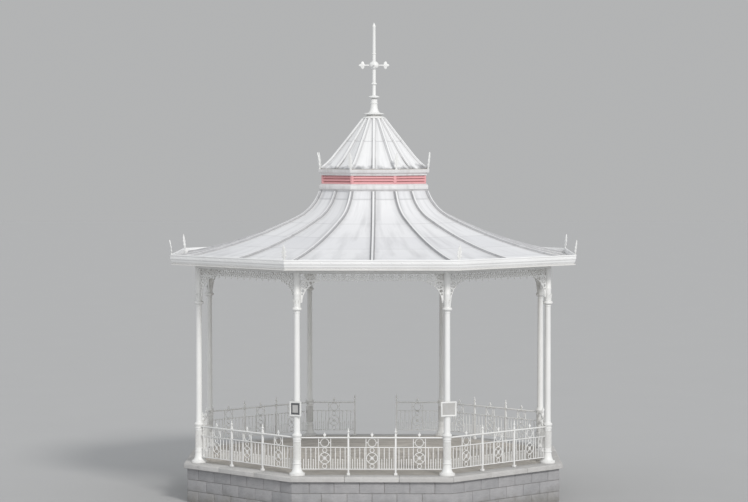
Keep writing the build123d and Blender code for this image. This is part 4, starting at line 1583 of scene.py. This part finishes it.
@dataclass
class Railing(Assembly):
    """Rails, bars, dog bars, standards and cast panels of the bays."""

    apothem: float = PLAN.column_apothem
    deck: float = PLAN.deck
    half: float = PLAN.bay_half - 0.084
    bottom_half: float = PLAN.bay_half - 0.100
    entrance: int = 4
    top: float = 0.805
    middle: float = 0.587
    bottom: float = 0.130
    handrail: Outline = (
        (-0.028, -0.020), (-0.028, -0.009), (-0.019, 0.0), (0.019, 0.0), (0.028, -0.009),
        (0.028, -0.020), (0.018, -0.030), (-0.018, -0.030),
    )
    handrail_depth: float = 0.030
    rail_half: Pair = (0.017, 0.008)
    bar: float = 0.0075
    bar_arris: float = 0.002
    rail_arris: float = 0.003
    cast_arris: float = 0.004
    spacing: float = 0.104
    knop: Outline = ((0.0, 0.0), (0.010, 0.003), (0.014, 0.011), (0.010, 0.019), (0.0, 0.022))
    knop_level: float = 0.31
    bar_steps: int = 8
    dog_tip: float = 0.350
    spear: Outline = ((0.0075, -0.06), (0.004, -0.05), (0.013, -0.032), (0.0, 0.0))
    panels: int = 3
    panel_half: float = 0.134
    lap: float = 0.003
    stile_half: float = 0.009
    arm_half: Pair = (0.0055, 0.006)
    petal: Outline = ((0.0, 0.0), (0.004, 0.012), (0.010, 0.030), (0.0, 0.048))
    petal_depth: float = 0.015
    petals: int = 8
    boss: float = 0.017
    fleuron: Outline = (
        (0.013, 0.0), (0.009, 0.020), (0.022, 0.026), (0.032, 0.044), (0.028, 0.062), (0.016, 0.060),
        (0.012, 0.070), (0.007, 0.086), (0.0, 0.103),
    )
    fleuron_depth: float = 0.018
    standard: float = 0.018
    standard_rise: float = 0.06
    collars: tuple[Point, ...] = ((0.034, 0.0, 0.045), (0.023, 0.40, 0.42), (0.026, 0.805, 0.819))
    knob: Outline = (
        (0.0, 0.055), (0.018, 0.058), (0.020, 0.066), (0.010, 0.076), (0.012, 0.084), (0.022, 0.096),
        (0.026, 0.110), (0.022, 0.124), (0.010, 0.134), (0.009, 0.142), (0.013, 0.150), (0.008, 0.170),
        (0.0, 0.200),
    )
    knob_steps: int = 12

    def rails(self, start: float, end: float) -> list[Object]:
        """Handrail, middle rail and bottom rail over a span.

        Args:
            start: First X.
            end: Last X.

        Returns:
            The three rails.
        """
        hand = run_along(shifted(self.handrail, 0.0, self.deck + self.top), start, end)
        made = [soften(hand, self.rail_arris, angle=25)]
        depth, rise = self.rail_half
        for level, reach in ((self.middle, self.half), (self.bottom, self.bottom_half)):
            first, last = max(start, -reach), min(end, reach)
            centre = self.deck + level
            rail = block((first, -depth, centre - rise), (last, depth, centre + rise))
            made.append(soften(rail, self.rail_arris))
        return made

    def upright_bar(self) -> Object:
        """A square bar with a small knop half way up.

        Returns:
            The bar.
        """
        low = self.deck + self.bottom
        bar = soften(post(self.bar, low, self.deck + self.middle), self.bar_arris, segments=1)
        knop = lathe(shifted(self.knop, 0.0, low + self.knop_level), self.bar_steps)
        return joined([bar, knop])

    def dog_bar(self) -> Object:
        """A short bar with a spear point."""
        spear = shifted(self.spear, 0.0, self.deck + self.dog_tip)
        return lathe([(self.bar, self.deck + self.bottom), *spear], self.bar_steps)

    def bars(self, start: float, end: float, kept_clear: Sequence[Pair]) -> list[Object]:
        """Bars and dog bars in turn over a span.

        Args:
            start: First X.
            end: Last X.
            kept_clear: Places as (x, half width) that hold other parts.

        Returns:
            The bars.
        """
        count = round((end - start) / self.spacing)
        pitch = (end - start) / count
        spots = [start + pitch * (index + 1) / 2 for index in range(2 * count - 1)]
        placed = []
        for pattern, row in ((self.dog_bar(), spots[::2]), (self.upright_bar(), spots[1::2])):
            for centre, room in kept_clear:
                row = [x for x in row if abs(x - centre) > room + self.bar]
            placed += set_out(pattern, at([(x, 0, 0) for x in row]))
        return placed

    def ring(self, level: float, radius: float) -> Object:
        """A round cast ring, flat to the railing."""
        return primitive(
            bpy.ops.mesh.primitive_torus_add, location=(0, 0, level), rotation=(math.pi / 2, 0, 0),
            major_segments=24, minor_segments=6, major_radius=radius - self.bar, minor_radius=self.bar,
        )

    def cast_panel(self) -> Object:
        """A panel of rings, a cross with a rosette, and a fleuron on the handrail.

        Returns:
            The panel.
        """
        rise = self.rail_half[1]
        low, middle = self.deck + self.bottom + rise, self.deck + self.middle - rise
        upper, top = self.deck + self.middle + rise, self.deck + self.top - self.handrail_depth
        stile = self.panel_half - self.bar
        centre, band_centre = (low + middle) / 2, (upper + top) / 2
        large = stile - self.bar + self.lap
        small = ((middle - low) / 2 - large) / 2 + self.lap
        band = (top - upper) / 2 + self.lap
        depth, half = self.arm_half
        reach, end = large - 2 * self.lap, top + self.lap
        parts = [self.ring(centre, large), self.ring(band_centre, band)]
        for side in (-1, 1):
            x = side * stile
            foot = (x - self.bar, -self.stile_half, low - self.lap)
            head = (x + self.bar, self.stile_half, end)
            parts.append(soften(block(foot, head), self.bar_arris, segments=1))
            parts.append(self.ring(centre + side * (large + small - 2 * self.lap), small))
            slant = Matrix.Translation((0, 0, centre)) @ Matrix.Rotation(side * math.pi / 4, 4, "Y")
            arm = moved(block((-reach, -depth, -half), (reach, depth, half)), slant)
            parts.append(soften(arm, self.bar_arris, segments=1))
            near, far = sorted((side * (band - self.lap), side * (stile + self.lap)))
            parts.append(block((near, -half, band_centre - half), (far, half, band_centre + half)))
        outline = shifted(mirrored(self.fleuron), 0.0, self.deck + self.top - self.lap)
        parts.append(soften(plate(outline, self.fleuron_depth), self.cast_arris))
        return joined(parts + self.rosette(centre))

    def rosette(self, centre: float) -> list[Object]:
        """Petals round a boss.

        Args:
            centre: Height of the boss.

        Returns:
            The petals and the boss.
        """
        petal = soften(plate(mirrored(self.petal), self.petal_depth), self.rail_arris, segments=1)
        petals = set_out(petal, whorl(self.petals, "Y", Matrix.Translation((0, 0, centre))))
        return [*petals, ball(self.boss, (0, 0, centre), depth=0.8)]

    def standard_post(self) -> Object:
        """A square standard with a shoe, collars, a ball and a point.

        Returns:
            The standard.
        """
        rail_top = self.deck + self.top
        upright = post(self.standard, self.deck, rail_top + self.standard_rise)
        parts = [soften(upright, self.rail_arris)]
        for half, low, high in self.collars:
            parts.append(soften(post(half, self.deck + low, self.deck + high), self.cast_arris))
        return joined([*parts, lathe(shifted(self.knob, 0.0, rail_top), self.knob_steps)])

    def bay(self, spans: Sequence[Pair]) -> Object:
        """One bay's railing over its spans, at the front.

        Args:
            spans: Spans of rail as (start, end).

        Returns:
            The joined railing.
        """
        panel = 2 * self.half / self.panels
        posts = [panel * (index - self.panels / 2) for index in range(1, self.panels)]
        centres = [panel * (index - (self.panels - 1) / 2) for index in range(self.panels)]
        clear = [(x, self.panel_half) for x in centres] + [(x, self.standard) for x in posts]
        parts = []
        for start, end in spans:
            parts += self.rails(start, end) + self.bars(start, end, clear)
        filled = [(x, 0, 0) for x in centres if any(start < x < end for start, end in spans)]
        parts += set_out(self.cast_panel(), at(filled))
        parts += set_out(self.standard_post(), at([(x, 0, 0) for x in posts]))
        return moved(joined(parts), Matrix.Translation((0, -self.apothem, 0)))

    def build(self) -> None:
        """Build seven whole railings and the parted one of the entrance bay."""
        patterns = [self.bay([(-self.half, self.half)])] * SIDES
        gate = self.half / self.panels
        patterns[self.entrance] = self.bay([(-self.half, -gate), (gate, self.half)])
        present_castings(patterns, "railing", self.finishes.iron)


@dataclass
class Eaves(Assembly):
    """Friezes, brackets, beam, soffit and gutter."""

    apothem: float = PLAN.column_apothem
    half: float = PLAN.bay_half - 0.074
    low: float = PLAN.frieze_low
    beam_top: float = PLAN.beam_low + 0.100
    module: float = 0.200
    opening: float = 0.124
    rail: float = 0.018
    petal: Outline = ((0.0, 0.0), (0.006, 0.010), (0.016, 0.028), (0.0, 0.047))
    petal_depth: float = 0.012
    petals: int = 4
    cross: Pair = (0.003, 0.052)
    boss: float = 0.012
    frieze_arris: float = 0.0025
    petal_arris: float = 0.003
    bracket_arris: float = 0.004
    bracket_width: float = 0.380
    bracket_height: float = 0.460
    rim: float = 0.030
    bead: float = 0.011
    bead_lift: float = 0.004
    bead_steps: int = 16
    bead_facets: int = 2
    web: float = 0.017
    star_petals: int = 6
    star_half: Outline = ((0.014, 0.35), (0.018, 0.65), (0.0, 1.0))
    star_depth: float = 0.014
    star_low: float = 0.010
    star_boss: float = 0.024
    gutter: float = PLAN.gutter_apothem
    gutter_foot: Outline = ((-0.148, 0.0), (-0.050, 0.0), (-0.050, 0.014), (-0.046, 0.022))
    cove_corner: Pair = (-0.046, 0.092)
    cove_size: Pair = (0.026, 0.062)
    gutter_lip: Outline = (
        (-0.010, 0.096), (-0.010, 0.106), (-0.006, 0.110), (-0.006, 0.168), (-0.002, 0.172), (0.0, 0.180),
        (0.0, 0.192), (-0.004, 0.200), (-0.032, 0.200), (-0.038, 0.194), (-0.038, 0.022), (-0.126, 0.022),
        (-0.126, 0.026), (-0.148, 0.026),
    )
    gutter_arris: float = 0.0015
    bosses: int = 17
    boss_ends: float = 0.4
    boss_steps: int = 12
    boss_level: float = 0.139
    boss_seat: float = 0.006
    dome: Outline = ((0.0, 0.0055), (0.012, 0.004), (0.018, 0.0), (0.020, -0.006), (0.0, -0.006))

    def frieze(self) -> Object:
        """The cast frieze with its arrises rounded and a flower in each ring.

        Returns:
            The front bay's frieze.
        """
        body = soften(casting("frieze_1"), self.frieze_arris, angle=40)
        count = round(2 * self.half / self.module)
        pitch = 2 * self.half / count
        middle = self.low + self.rail + self.opening / 2
        places = [(pitch * (index + 0.5) - self.half, -self.apothem, middle) for index in range(count)]
        return joined([body, *set_out(self.flower(), at(places))])

    def flower(self) -> Object:
        """Four petals on a cross with a boss, at the origin.

        Returns:
            The flower.
        """
        petal = soften(plate(mirrored(self.petal), self.petal_depth), self.petal_arris, segments=1)
        width, length = self.cross
        turns = whorl(self.petals, "Y", start=0.5)
        parts = set_out(petal, turns) + set_out(post(width, 0.0, length), turns)
        return joined([*parts, ball(self.boss, (0, 0, 0), depth=1.0, segments=8, rings=6)])

    def brackets(self) -> Object:
        """The pierced spandrels, softened, each with a bead on its rim and a star in its round.

        Returns:
            The brackets of all bays.
        """
        body = soften(casting("spandrel_brackets"), self.bracket_arris, angle=40)
        run, drop = self.bracket_width - self.rim, self.bracket_height - self.rim
        radius = (run**2 + drop**2) / (2 * run)
        root = math.sqrt(2)
        diagonal = math.hypot(self.rim + radius, self.bracket_height) - radius
        star = (diagonal - self.web - self.web * root) / (1 + root)
        steps = self.bead_steps
        turns = [math.asin(drop / radius) * step / steps for step in range(steps + 1)]
        extras = []
        for side in (-1, 1):
            extras.append(self.bead_along([(
                side * (self.half - (self.rim + radius - radius * math.cos(turn))), -self.apothem,
                self.low + (radius * math.sin(turn) - self.bracket_height) + self.bead_lift,
            ) for turn in turns]))
        aside, level = self.half - self.web - star, self.low - self.web - star
        rounds = [(side * aside, -self.apothem, level) for side in (-1, 1)]
        extras += set_out(self.star(star), at(rounds))
        return joined([body, all_round(joined(extras))])

    def bead_along(self, points: Sequence[Point]) -> Object:
        """A round bead that follows points.

        Args:
            points: The points.

        Returns:
            The bead.
        """
        hold(trace(points))
        bpy.ops.object.convert(target="CURVE")
        curve = bpy.context.object.data
        curve.bevel_depth = self.bead
        curve.bevel_resolution = self.bead_facets
        curve.use_fill_caps = True
        bpy.ops.object.convert(target="MESH")
        return tidy_shell(bpy.context.object)

    def star(self, radius: float) -> Object:
        """Petals in a ring with a boss, at the origin.

        Args:
            radius: Radius of the round that they fill.

        Returns:
            The star.
        """
        length = radius + self.bead_lift
        petal = [(0.0, self.star_low), *((across, length * share) for across, share in self.star_half)]
        leaf = soften(plate(mirrored(petal), self.star_depth), self.bracket_arris, segments=1)
        petals = set_out(leaf, whorl(self.star_petals, "Y"))
        return joined([*petals, ball(self.star_boss, (0, 0, 0), depth=0.7)])

    def gutter_ring(self) -> Object:
        """The box gutter with a moulded face: cove, fillets and a beaded lip.

        Returns:
            The gutter round all sides.
        """
        (x, z), (run, rise) = self.cove_corner, self.cove_size
        cove = [(x + run * sine, z - rise * cosine) for sine, cosine in quarter(BEND_STEPS)]
        section = shifted([*self.gutter_foot, *cove, *self.gutter_lip], self.gutter, self.beam_top)
        return soften(octagon_ring(section), self.gutter_arris, segments=1, angle=50)

    def gutter_bosses(self) -> Object:
        """Small round bosses along the gutter's face.

        Returns:
            The bosses of all sides.
        """
        pitch = 2 * self.gutter * math.tan(HALF_TURN) / (self.bosses + self.boss_ends)
        dome = moved(lathe(self.dome, self.boss_steps), Matrix.Rotation(math.pi / 2, 4, "X"))
        level, face = self.beam_top + self.boss_level, self.boss_seat - self.gutter
        places = [((index - (self.bosses - 1) / 2) * pitch, face, level) for index in range(self.bosses)]
        return all_round(joined(set_out(dome, at(places))))

    def build(self) -> None:
        """Build and dress everything between the columns and the roof."""
        dress = self.finishes
        present_castings([self.frieze()] * SIDES, "frieze", dress.iron)
        present(self.brackets(), "cast_brackets", dress.iron, Slot.IRON, "spandrel_brackets")
        present(self.gutter_ring(), "moulded_gutter", dress.gutter, Slot.BOARDING, "eaves_gutter")
        present(self.gutter_bosses(), "gutter_bosses", dress.gutter, Slot.IRON)
        dress_node("eaves_beam", dress.boarding)
        dress_node("eaves_soffit", dress.soffit)


@dataclass
class Roof(Assembly):
    """Main roof, its rolls and rafters, and the cap roof with its rolls."""

    roll_round: float = 0.014
    cap_round: float = 0.011

    def build(self) -> None:
        """Round the rolls and dress the sheets."""
        dress = self.finishes
        for node, width, finish in (
            ("roof_rolls", self.roll_round, dress.sheet), ("cap_rolls", self.cap_round, dress.cap_sheet)
        ):
            rolls = soften(casting(node), width, segments=3, angle=40)
            present(rolls, f"rounded_{node}", finish, Slot.SHEET, node)
        dress_node("main_roof", dress.sheet)
        dress_node("cap_roof", dress.cap_sheet)
        dress_node("roof_rafters", dress.boarding)


@dataclass
class Lantern(Assembly):
    """The ventilating lantern: weathered sill, red louvres and moulded cornice."""

    apothem: float = 1.165
    base: float = 6.740
    sill_height: float = 0.155
    louvre_height: float = 0.187
    sill_arris: float = 0.003
    cornice_arris: float = 0.002
    blade_arris: float = 0.003
    sill: Outline = (
        (-0.070, 0.0), (0.0, 0.0), (0.004, 0.020), (0.020, 0.036), (0.036, 0.040), (0.036, 0.115),
        (0.030, 0.125), (0.002, 0.145), (0.0, 0.155), (-0.070, 0.155),
    )
    cove_corner: Pair = (0.006, 0.010)
    cove_size: Pair = (0.042, 0.048)
    cornice_foot: Outline = ((-0.070, 0.0), (0.006, 0.0))
    cornice_head: Outline = (
        (0.054, 0.064), (0.054, 0.070), (0.059, 0.074), (0.059, 0.107), (0.062, 0.113), (0.062, 0.133),
        (-0.070, 0.133),
    )

    @property
    def cornice_base(self) -> float:
        """Level of the cornice's underside."""
        return self.base + self.sill_height + self.louvre_height

    def sill_ring(self) -> Object:
        """The sill: sloped top, rounded edge and a drip."""
        ring = octagon_ring(shifted(self.sill, self.apothem, self.base))
        return soften(ring, self.sill_arris, angle=40)

    def cornice_ring(self) -> Object:
        """The cornice: cove, fascia and a top fillet.

        Returns:
            The cornice round all sides.
        """
        (x, z), (run, rise) = self.cove_corner, self.cove_size
        cove = [(x + run * (1 - cosine), z + rise * sine) for sine, cosine in quarter(BEND_STEPS)]
        section = [*self.cornice_foot, *cove, *self.cornice_head]
        ring = octagon_ring(shifted(section, self.apothem, self.cornice_base))
        return soften(ring, self.cornice_arris, segments=1, angle=50)

    def build(self) -> None:
        """Build and dress the lantern."""
        dress = self.finishes
        present(self.sill_ring(), "moulded_sill", dress.moulding, Slot.BOARDING, "lantern_sill")
        present(self.cornice_ring(), "moulded_cornice", dress.moulding, Slot.BOARDING, "lantern_cornice")
        blades = soften(casting("lantern_louvres"), self.blade_arris, segments=1, angle=40)
        present(blades, "louvre_blades", dress.red, Slot.LOUVRES, "lantern_louvres")


@dataclass
class Finial(Assembly):
    """The spire with its mouldings and four leafed arms."""

    foot: float = 8.337
    steps: int = 32
    base: Outline = (
        (0.0, 0.0), (0.261, 0.0), (0.261, 0.016), (0.252, 0.024), (0.190, 0.050), (0.160, 0.066),
        (0.152, 0.080), (0.190, 0.082), (0.218, 0.090), (0.227, 0.101), (0.218, 0.112), (0.190, 0.120),
    )
    waist_low: Pair = (0.150, 0.125)
    waist_size: Pair = (0.074, 0.195)
    stem: Outline = (
        (0.084, 0.326), (0.088, 0.336), (0.084, 0.346), (0.076, 0.352), (0.074, 0.425), (0.052, 0.440),
        (0.085, 0.448), (0.115, 0.460), (0.126, 0.475), (0.115, 0.490), (0.085, 0.502), (0.050, 0.508),
        (0.041, 0.522), (0.040, 0.740), (0.054, 0.750), (0.062, 0.760), (0.065, 0.769), (0.062, 0.778),
        (0.054, 0.788), (0.040, 0.798), (0.040, 1.084), (0.052, 1.092), (0.052, 1.100), (0.074, 1.112),
        (0.096, 1.134), (0.106, 1.160), (0.108, 1.180), (0.106, 1.200), (0.096, 1.226), (0.074, 1.248),
        (0.052, 1.260), (0.052, 1.268), (0.040, 1.276), (0.039, 1.420), (0.047, 1.428), (0.047, 1.440),
        (0.037, 1.448), (0.035, 2.020), (0.040, 2.036), (0.040, 2.050), (0.032, 2.062), (0.014, 2.100),
        (0.0, 2.130),
    )
    arms: int = 4
    arm_level: float = 1.18
    arm_reach: float = 0.345
    arm_depth: float = 0.030
    arm_arris: float = 0.007
    arm_half: Outline = (
        (0.090, -0.015), (0.200, -0.013), (0.212, -0.024), (0.222, -0.062), (0.244, -0.086),
        (0.270, -0.084), (0.286, -0.064), (0.288, -0.040), (0.304, -0.026), (0.330, -0.018),
    )
    collar: Outline = ((0.0, 0.150), (0.018, 0.150), (0.021, 0.158), (0.018, 0.166), (0.0, 0.166))
    collar_steps: int = 12

    def spire(self) -> Object:
        """The turned spire.

        Returns:
            The spire.
        """
        (radius, low), (run, rise) = self.waist_low, self.waist_size
        waist = [(radius - run * sine, low + rise * (1 - cosine)) for sine, cosine in quarter(BEND_STEPS)]
        return lathe(shifted([*self.base, *waist, *self.stem], 0.0, self.foot), self.steps)

    def arm(self) -> Object:
        """One arm with a three-lobed leaf at its end, along X.

        Returns:
            The arm.
        """
        level = self.foot + self.arm_level
        upper = [(x, -z) for x, z in reversed(self.arm_half)]
        outline = shifted([*self.arm_half, (self.arm_reach, 0.0), *upper], 0.0, level)
        leaf = soften(plate(outline, self.arm_depth), self.arm_arris, angle=25)
        on_its_side = Matrix.Translation((0, 0, level)) @ Matrix.Rotation(math.pi / 2, 4, "Y")
        return joined([leaf, moved(lathe(self.collar, self.collar_steps), on_its_side)])

    def build(self) -> None:
        """Build and dress the finial."""
        present(self.spire(), "turned_spire", self.finishes.iron, Slot.IRON, "finial_spire")
        arms = joined(set_out(self.arm(), whorl(self.arms, "Z")))
        present(arms, "leafed_arms", self.finishes.iron, Slot.IRON, "finial_arms")


@dataclass
class Crests(Assembly):
    """Cast leaves on the corners of the gutter and of the lantern cornice."""

    width: float = 0.110
    setback: float = 0.005
    eaves_height: float = 0.320
    lantern_height: float = 0.380
    lobes: Outline = (
        (0.34, 0.00), (0.30, 0.08), (0.42, 0.12), (0.86, 0.17), (1.0, 0.27), (0.80, 0.33), (0.58, 0.31),
        (0.66, 0.38), (0.98, 0.46), (0.92, 0.57), (0.62, 0.58), (0.56, 0.64), (0.72, 0.71), (0.62, 0.79),
        (0.34, 0.82), (0.24, 0.90), (0.0, 1.0),
    )
    leaf_depth: float = 0.016
    arris: float = 0.004
    rib_half: Outline = ((0.006, 0.0), (0.004, 0.93))
    rib_depth: float = 0.025
    foot_half: Point = (0.028, 0.013, 0.022)
    measured: float = 0.01

    def palmette(self, height: float) -> Object:
        """A tall leaf with side lobes, a rib and a foot, facing -Y, its foot at the origin.

        Args:
            height: Height of the leaf.

        Returns:
            The leaf.
        """
        edge = [(self.width / 2 * share, height * up) for share, up in self.lobes]
        leaf = soften(plate(mirrored(edge), self.leaf_depth), self.arris, angle=25)
        rib = plate(mirrored([(across, height * up) for across, up in self.rib_half]), self.rib_depth)
        x, y, z = self.foot_half
        foot = soften(block((-x, -y, 0.0), (x, y, z)), self.arris)
        return joined([leaf, soften(rib, self.arris, angle=25), foot])

    def placed(self, node: str, height: float) -> Object:
        """Set leaves where the CAD node has them.

        Args:
            node: The CAD node with eight leaves.
            height: Height of a leaf.

        Returns:
            The eight leaves.
        """
        points = node_points(node)
        along, across = points[:, :2] @ CORNER_WAY, points[:, :2] @ CORNER_SIDE
        mine = (along > 0) & (np.abs(across) < self.width)
        level, top = points[mine][:, 2].min(), points[mine][:, 2].max()
        foot = along[mine & (points[:, 2] < level + self.measured)]
        head = along[mine & (points[:, 2] > top - self.measured)]
        reach = (foot.min() + foot.max()) / 2
        lean = math.atan2((head.min() + head.max()) / 2 - reach, height)
        spin = Matrix.Rotation(LEFT_CORNER - FRONT, 4, "Z")
        tilt = Matrix.Rotation(lean, 4, "X")
        place = spin @ Matrix.Translation((0, self.setback - reach, level)) @ tilt
        return all_round(moved(self.palmette(height), place))

    def build(self) -> None:
        """Build and dress both sets of crests."""
        for node, height in (("eaves_crests", self.eaves_height), ("lantern_crests", self.lantern_height)):
            present(self.placed(node, height), f"leafed_{node}", self.finishes.iron, Slot.IRON, node)


@dataclass
class Boards(Assembly):
    """Programme boards clipped to the two front columns."""

    left_width: float = 0.262
    right_width: float = 0.350
    height: float = 0.310
    frame_arris: float = 0.003
    border: float = 0.028
    margin: float = 0.007
    recess: float = 0.008
    paste: float = 0.0016
    felt_depth: float = 0.0012
    notice_share: float = 0.66
    centre: float = PLAN.deck + 1.4
    squares: int = 14
    lift: float = 0.0045
    lift_power: int = 6
    ripple: float = 0.0006
    waves: Pair = (7, 3)
    sheet_depth: float = 0.0006

    def paper(self, width: float, face: float, angle: float, share: float = 1.0) -> Object:
        """A sheet with lifted corners, pasted on one board.

        Args:
            width: Width of the board.
            face: Distance of the sheet's back from the centre.
            angle: Direction of the board.
            share: Size of the sheet, as a share of the board's field.

        Returns:
            The sheet.
        """
        half = (width / 2 - self.border - self.margin) * share
        rise = (self.height / 2 - self.border - self.margin) * share
        sheet = primitive(
            bpy.ops.mesh.primitive_grid_add, (half, rise, 1), x_subdivisions=self.squares,
            y_subdivisions=self.squares, size=2, rotation=(math.pi / 2, 0, 0),
        )
        for vertex in sheet.data.vertices:
            across, up = vertex.co.x / half, vertex.co.z / rise
            lifted = self.lift * (across * up) ** self.lift_power
            wave = math.sin(self.waves[0] * across + self.waves[1] * up)
            vertex.co.y = -lifted - self.ripple * wave
        hold(sheet)
        solid = sheet.modifiers.new("thickness", "SOLIDIFY")
        solid.thickness = self.sheet_depth
        bpy.ops.object.modifier_apply(modifier=solid.name)
        spin = Matrix.Rotation(angle - FRONT, 4, "Z")
        return moved(sheet, spin @ Matrix.Translation((0, -face, self.centre)))

    def build(self) -> None:
        """Soften the frames, and paste dark felt with a small notice at left and a sheet at right."""
        dress = self.finishes
        front = float((node_points("programme_boards")[:, :2] @ CORNER_WAY).max())
        field_face = front - self.recess + self.paste
        frames = soften(casting("programme_boards"), self.frame_arris, angle=40)
        present(frames, "board_frames", dress.boarding, Slot.BOARDING, "programme_boards")
        felt = self.paper(self.left_width, field_face, LEFT_CORNER)
        present(felt, "board_felt", dress.felt, Slot.BOARDING)
        notice = self.paper(self.left_width, field_face + self.felt_depth, LEFT_CORNER, self.notice_share)
        sheet = self.paper(self.right_width, field_face, RIGHT_CORNER)
        present(joined([notice, sheet]), "board_papers", dress.paper, Slot.BOARDING)


# Setting

@dataclass
class Studio:
    """Floor, backdrop, lamps and camera."""

    distance: float = 59.45
    aside: float = math.radians(0.62)
    eye: float = 7.85
    aim: float = 5.39
    lens: float = 128.6
    sensor: float = 36.0
    nearest: float = 0.5
    farthest: float = 600.0
    floor_size: float = 400.0
    floor: Colour = (0.444, 0.443, 0.443)
    backdrop: Colour = (0.449, 0.454, 0.457)
    sky_colour: Colour = (0.94, 0.97, 1.0)
    sky_strength: float = 0.72
    lamp_colour: Colour = (1.0, 0.98, 0.95)
    key_energy: float = 1.63
    key_slope: float = math.radians(56)
    key_swing: float = math.radians(27)
    key_spread: float = math.radians(12)
    fill_energy: float = 0.44
    fill_slope: float = math.radians(80)
    fill_swing: float = math.radians(8)
    fill_spread: float = math.radians(40)

    def ground(self) -> None:
        """A wide flat floor in the backdrop's grey."""
        size = (self.floor_size, self.floor_size, 1)
        sweep = primitive(bpy.ops.mesh.primitive_plane_add, size, size=1)
        sweep.name = "studio_floor"
        recipe = Recipe("studio_floor")
        tone = recipe.noise(recipe.place(), 0.6, 2.0)
        recipe.colour = recipe.mix(recipe.spread(tone, 0.3, 0.7), toned(self.floor, 0.985), self.floor)
        recipe.finish(recipe.spread(tone, 0.3, 0.7, 0.88, 0.92))
        sweep.data.materials.append(recipe.material)

    def sky(self) -> None:
        """Even soft light from all round, seen as the backdrop's grey."""
        world = bpy.data.worlds.new("studio")
        bpy.context.scene.world = world
        world.use_nodes = True
        wiring = Wiring(world.node_tree)
        nodes = world.node_tree.nodes
        background = nodes["Background"]
        wiring.feed(background.inputs["Color"], self.sky_colour)
        wiring.feed(background.inputs["Strength"], self.sky_strength)
        seen = wiring.node("ShaderNodeBackground", {"Color": self.backdrop, "Strength": 1.0})
        paths = wiring.node("ShaderNodeLightPath").outputs
        ray = wiring.math("MAXIMUM", paths["Is Camera Ray"], paths["Is Glossy Ray"])
        ray = wiring.math("MAXIMUM", ray, paths["Is Transmission Ray"])
        mixed = wiring.node("ShaderNodeMixShader", {0: ray, 1: background.outputs[0], 2: seen.outputs[0]})
        wiring.feed(nodes["World Output"].inputs["Surface"], mixed.outputs[0])

    def lamps(self) -> None:
        """A soft key lamp from high on the right, and a weak wide fill from low at the front."""
        for name, energy, slope, swing, spread in (
            ("key_lamp", self.key_energy, self.key_slope, self.key_swing, self.key_spread),
            ("fill_lamp", self.fill_energy, self.fill_slope, self.fill_swing, self.fill_spread),
        ):
            bpy.ops.object.light_add(type="SUN", rotation=(slope, 0, swing))
            lamp = bpy.context.object
            lamp.name = name
            lamp.data.energy = energy
            lamp.data.angle = spread
            lamp.data.color = self.lamp_colour

    def camera(self) -> None:
        """The camera at the photograph's viewing angle."""
        x, y = self.distance * math.sin(self.aside), -self.distance * math.cos(self.aside)
        place = Vector((x, y, self.eye))
        bpy.ops.object.camera_add(location=place)
        camera = bpy.context.object
        camera.name = "front_camera"
        look = Vector((0, 0, self.aim)) - place
        camera.rotation_euler = look.to_track_quat("-Z", "Y").to_euler()
        camera.data.sensor_width = self.sensor
        camera.data.lens = self.lens
        camera.data.clip_start = self.nearest
        camera.data.clip_end = self.farthest
        bpy.context.scene.camera = camera

    def build(self) -> None:
        """Set up everything round the object."""
        self.camera()
        self.ground()
        self.sky()
        self.lamps()
        bpy.context.scene.view_settings.view_transform = "Standard"


def main() -> None:
    """Build and dress the bandstand, then the studio round it."""
    logging.basicConfig(level=logging.INFO, format="%(name)s: %(message)s")
    for name in ("Cube", "Light", "Camera"):
        if name in bpy.data.objects:
            bpy.data.objects.remove(bpy.data.objects[name])
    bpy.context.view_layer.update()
    bpy.ops.object.select_all(action="DESELECT")
    finishes = Finishes()
    for kind in (Masonry, Steps, Deck, Column, Railing, Eaves, Roof, Lantern, Finial, Crests, Boards):
        kind(finishes).build()
        log.info("%s done", kind.__name__)
    dress_node("floor_joists", finishes.joists)
    dress_node("centre_pier", finishes.brick)
    Studio().build()


if __name__ == "__main__":
    main()
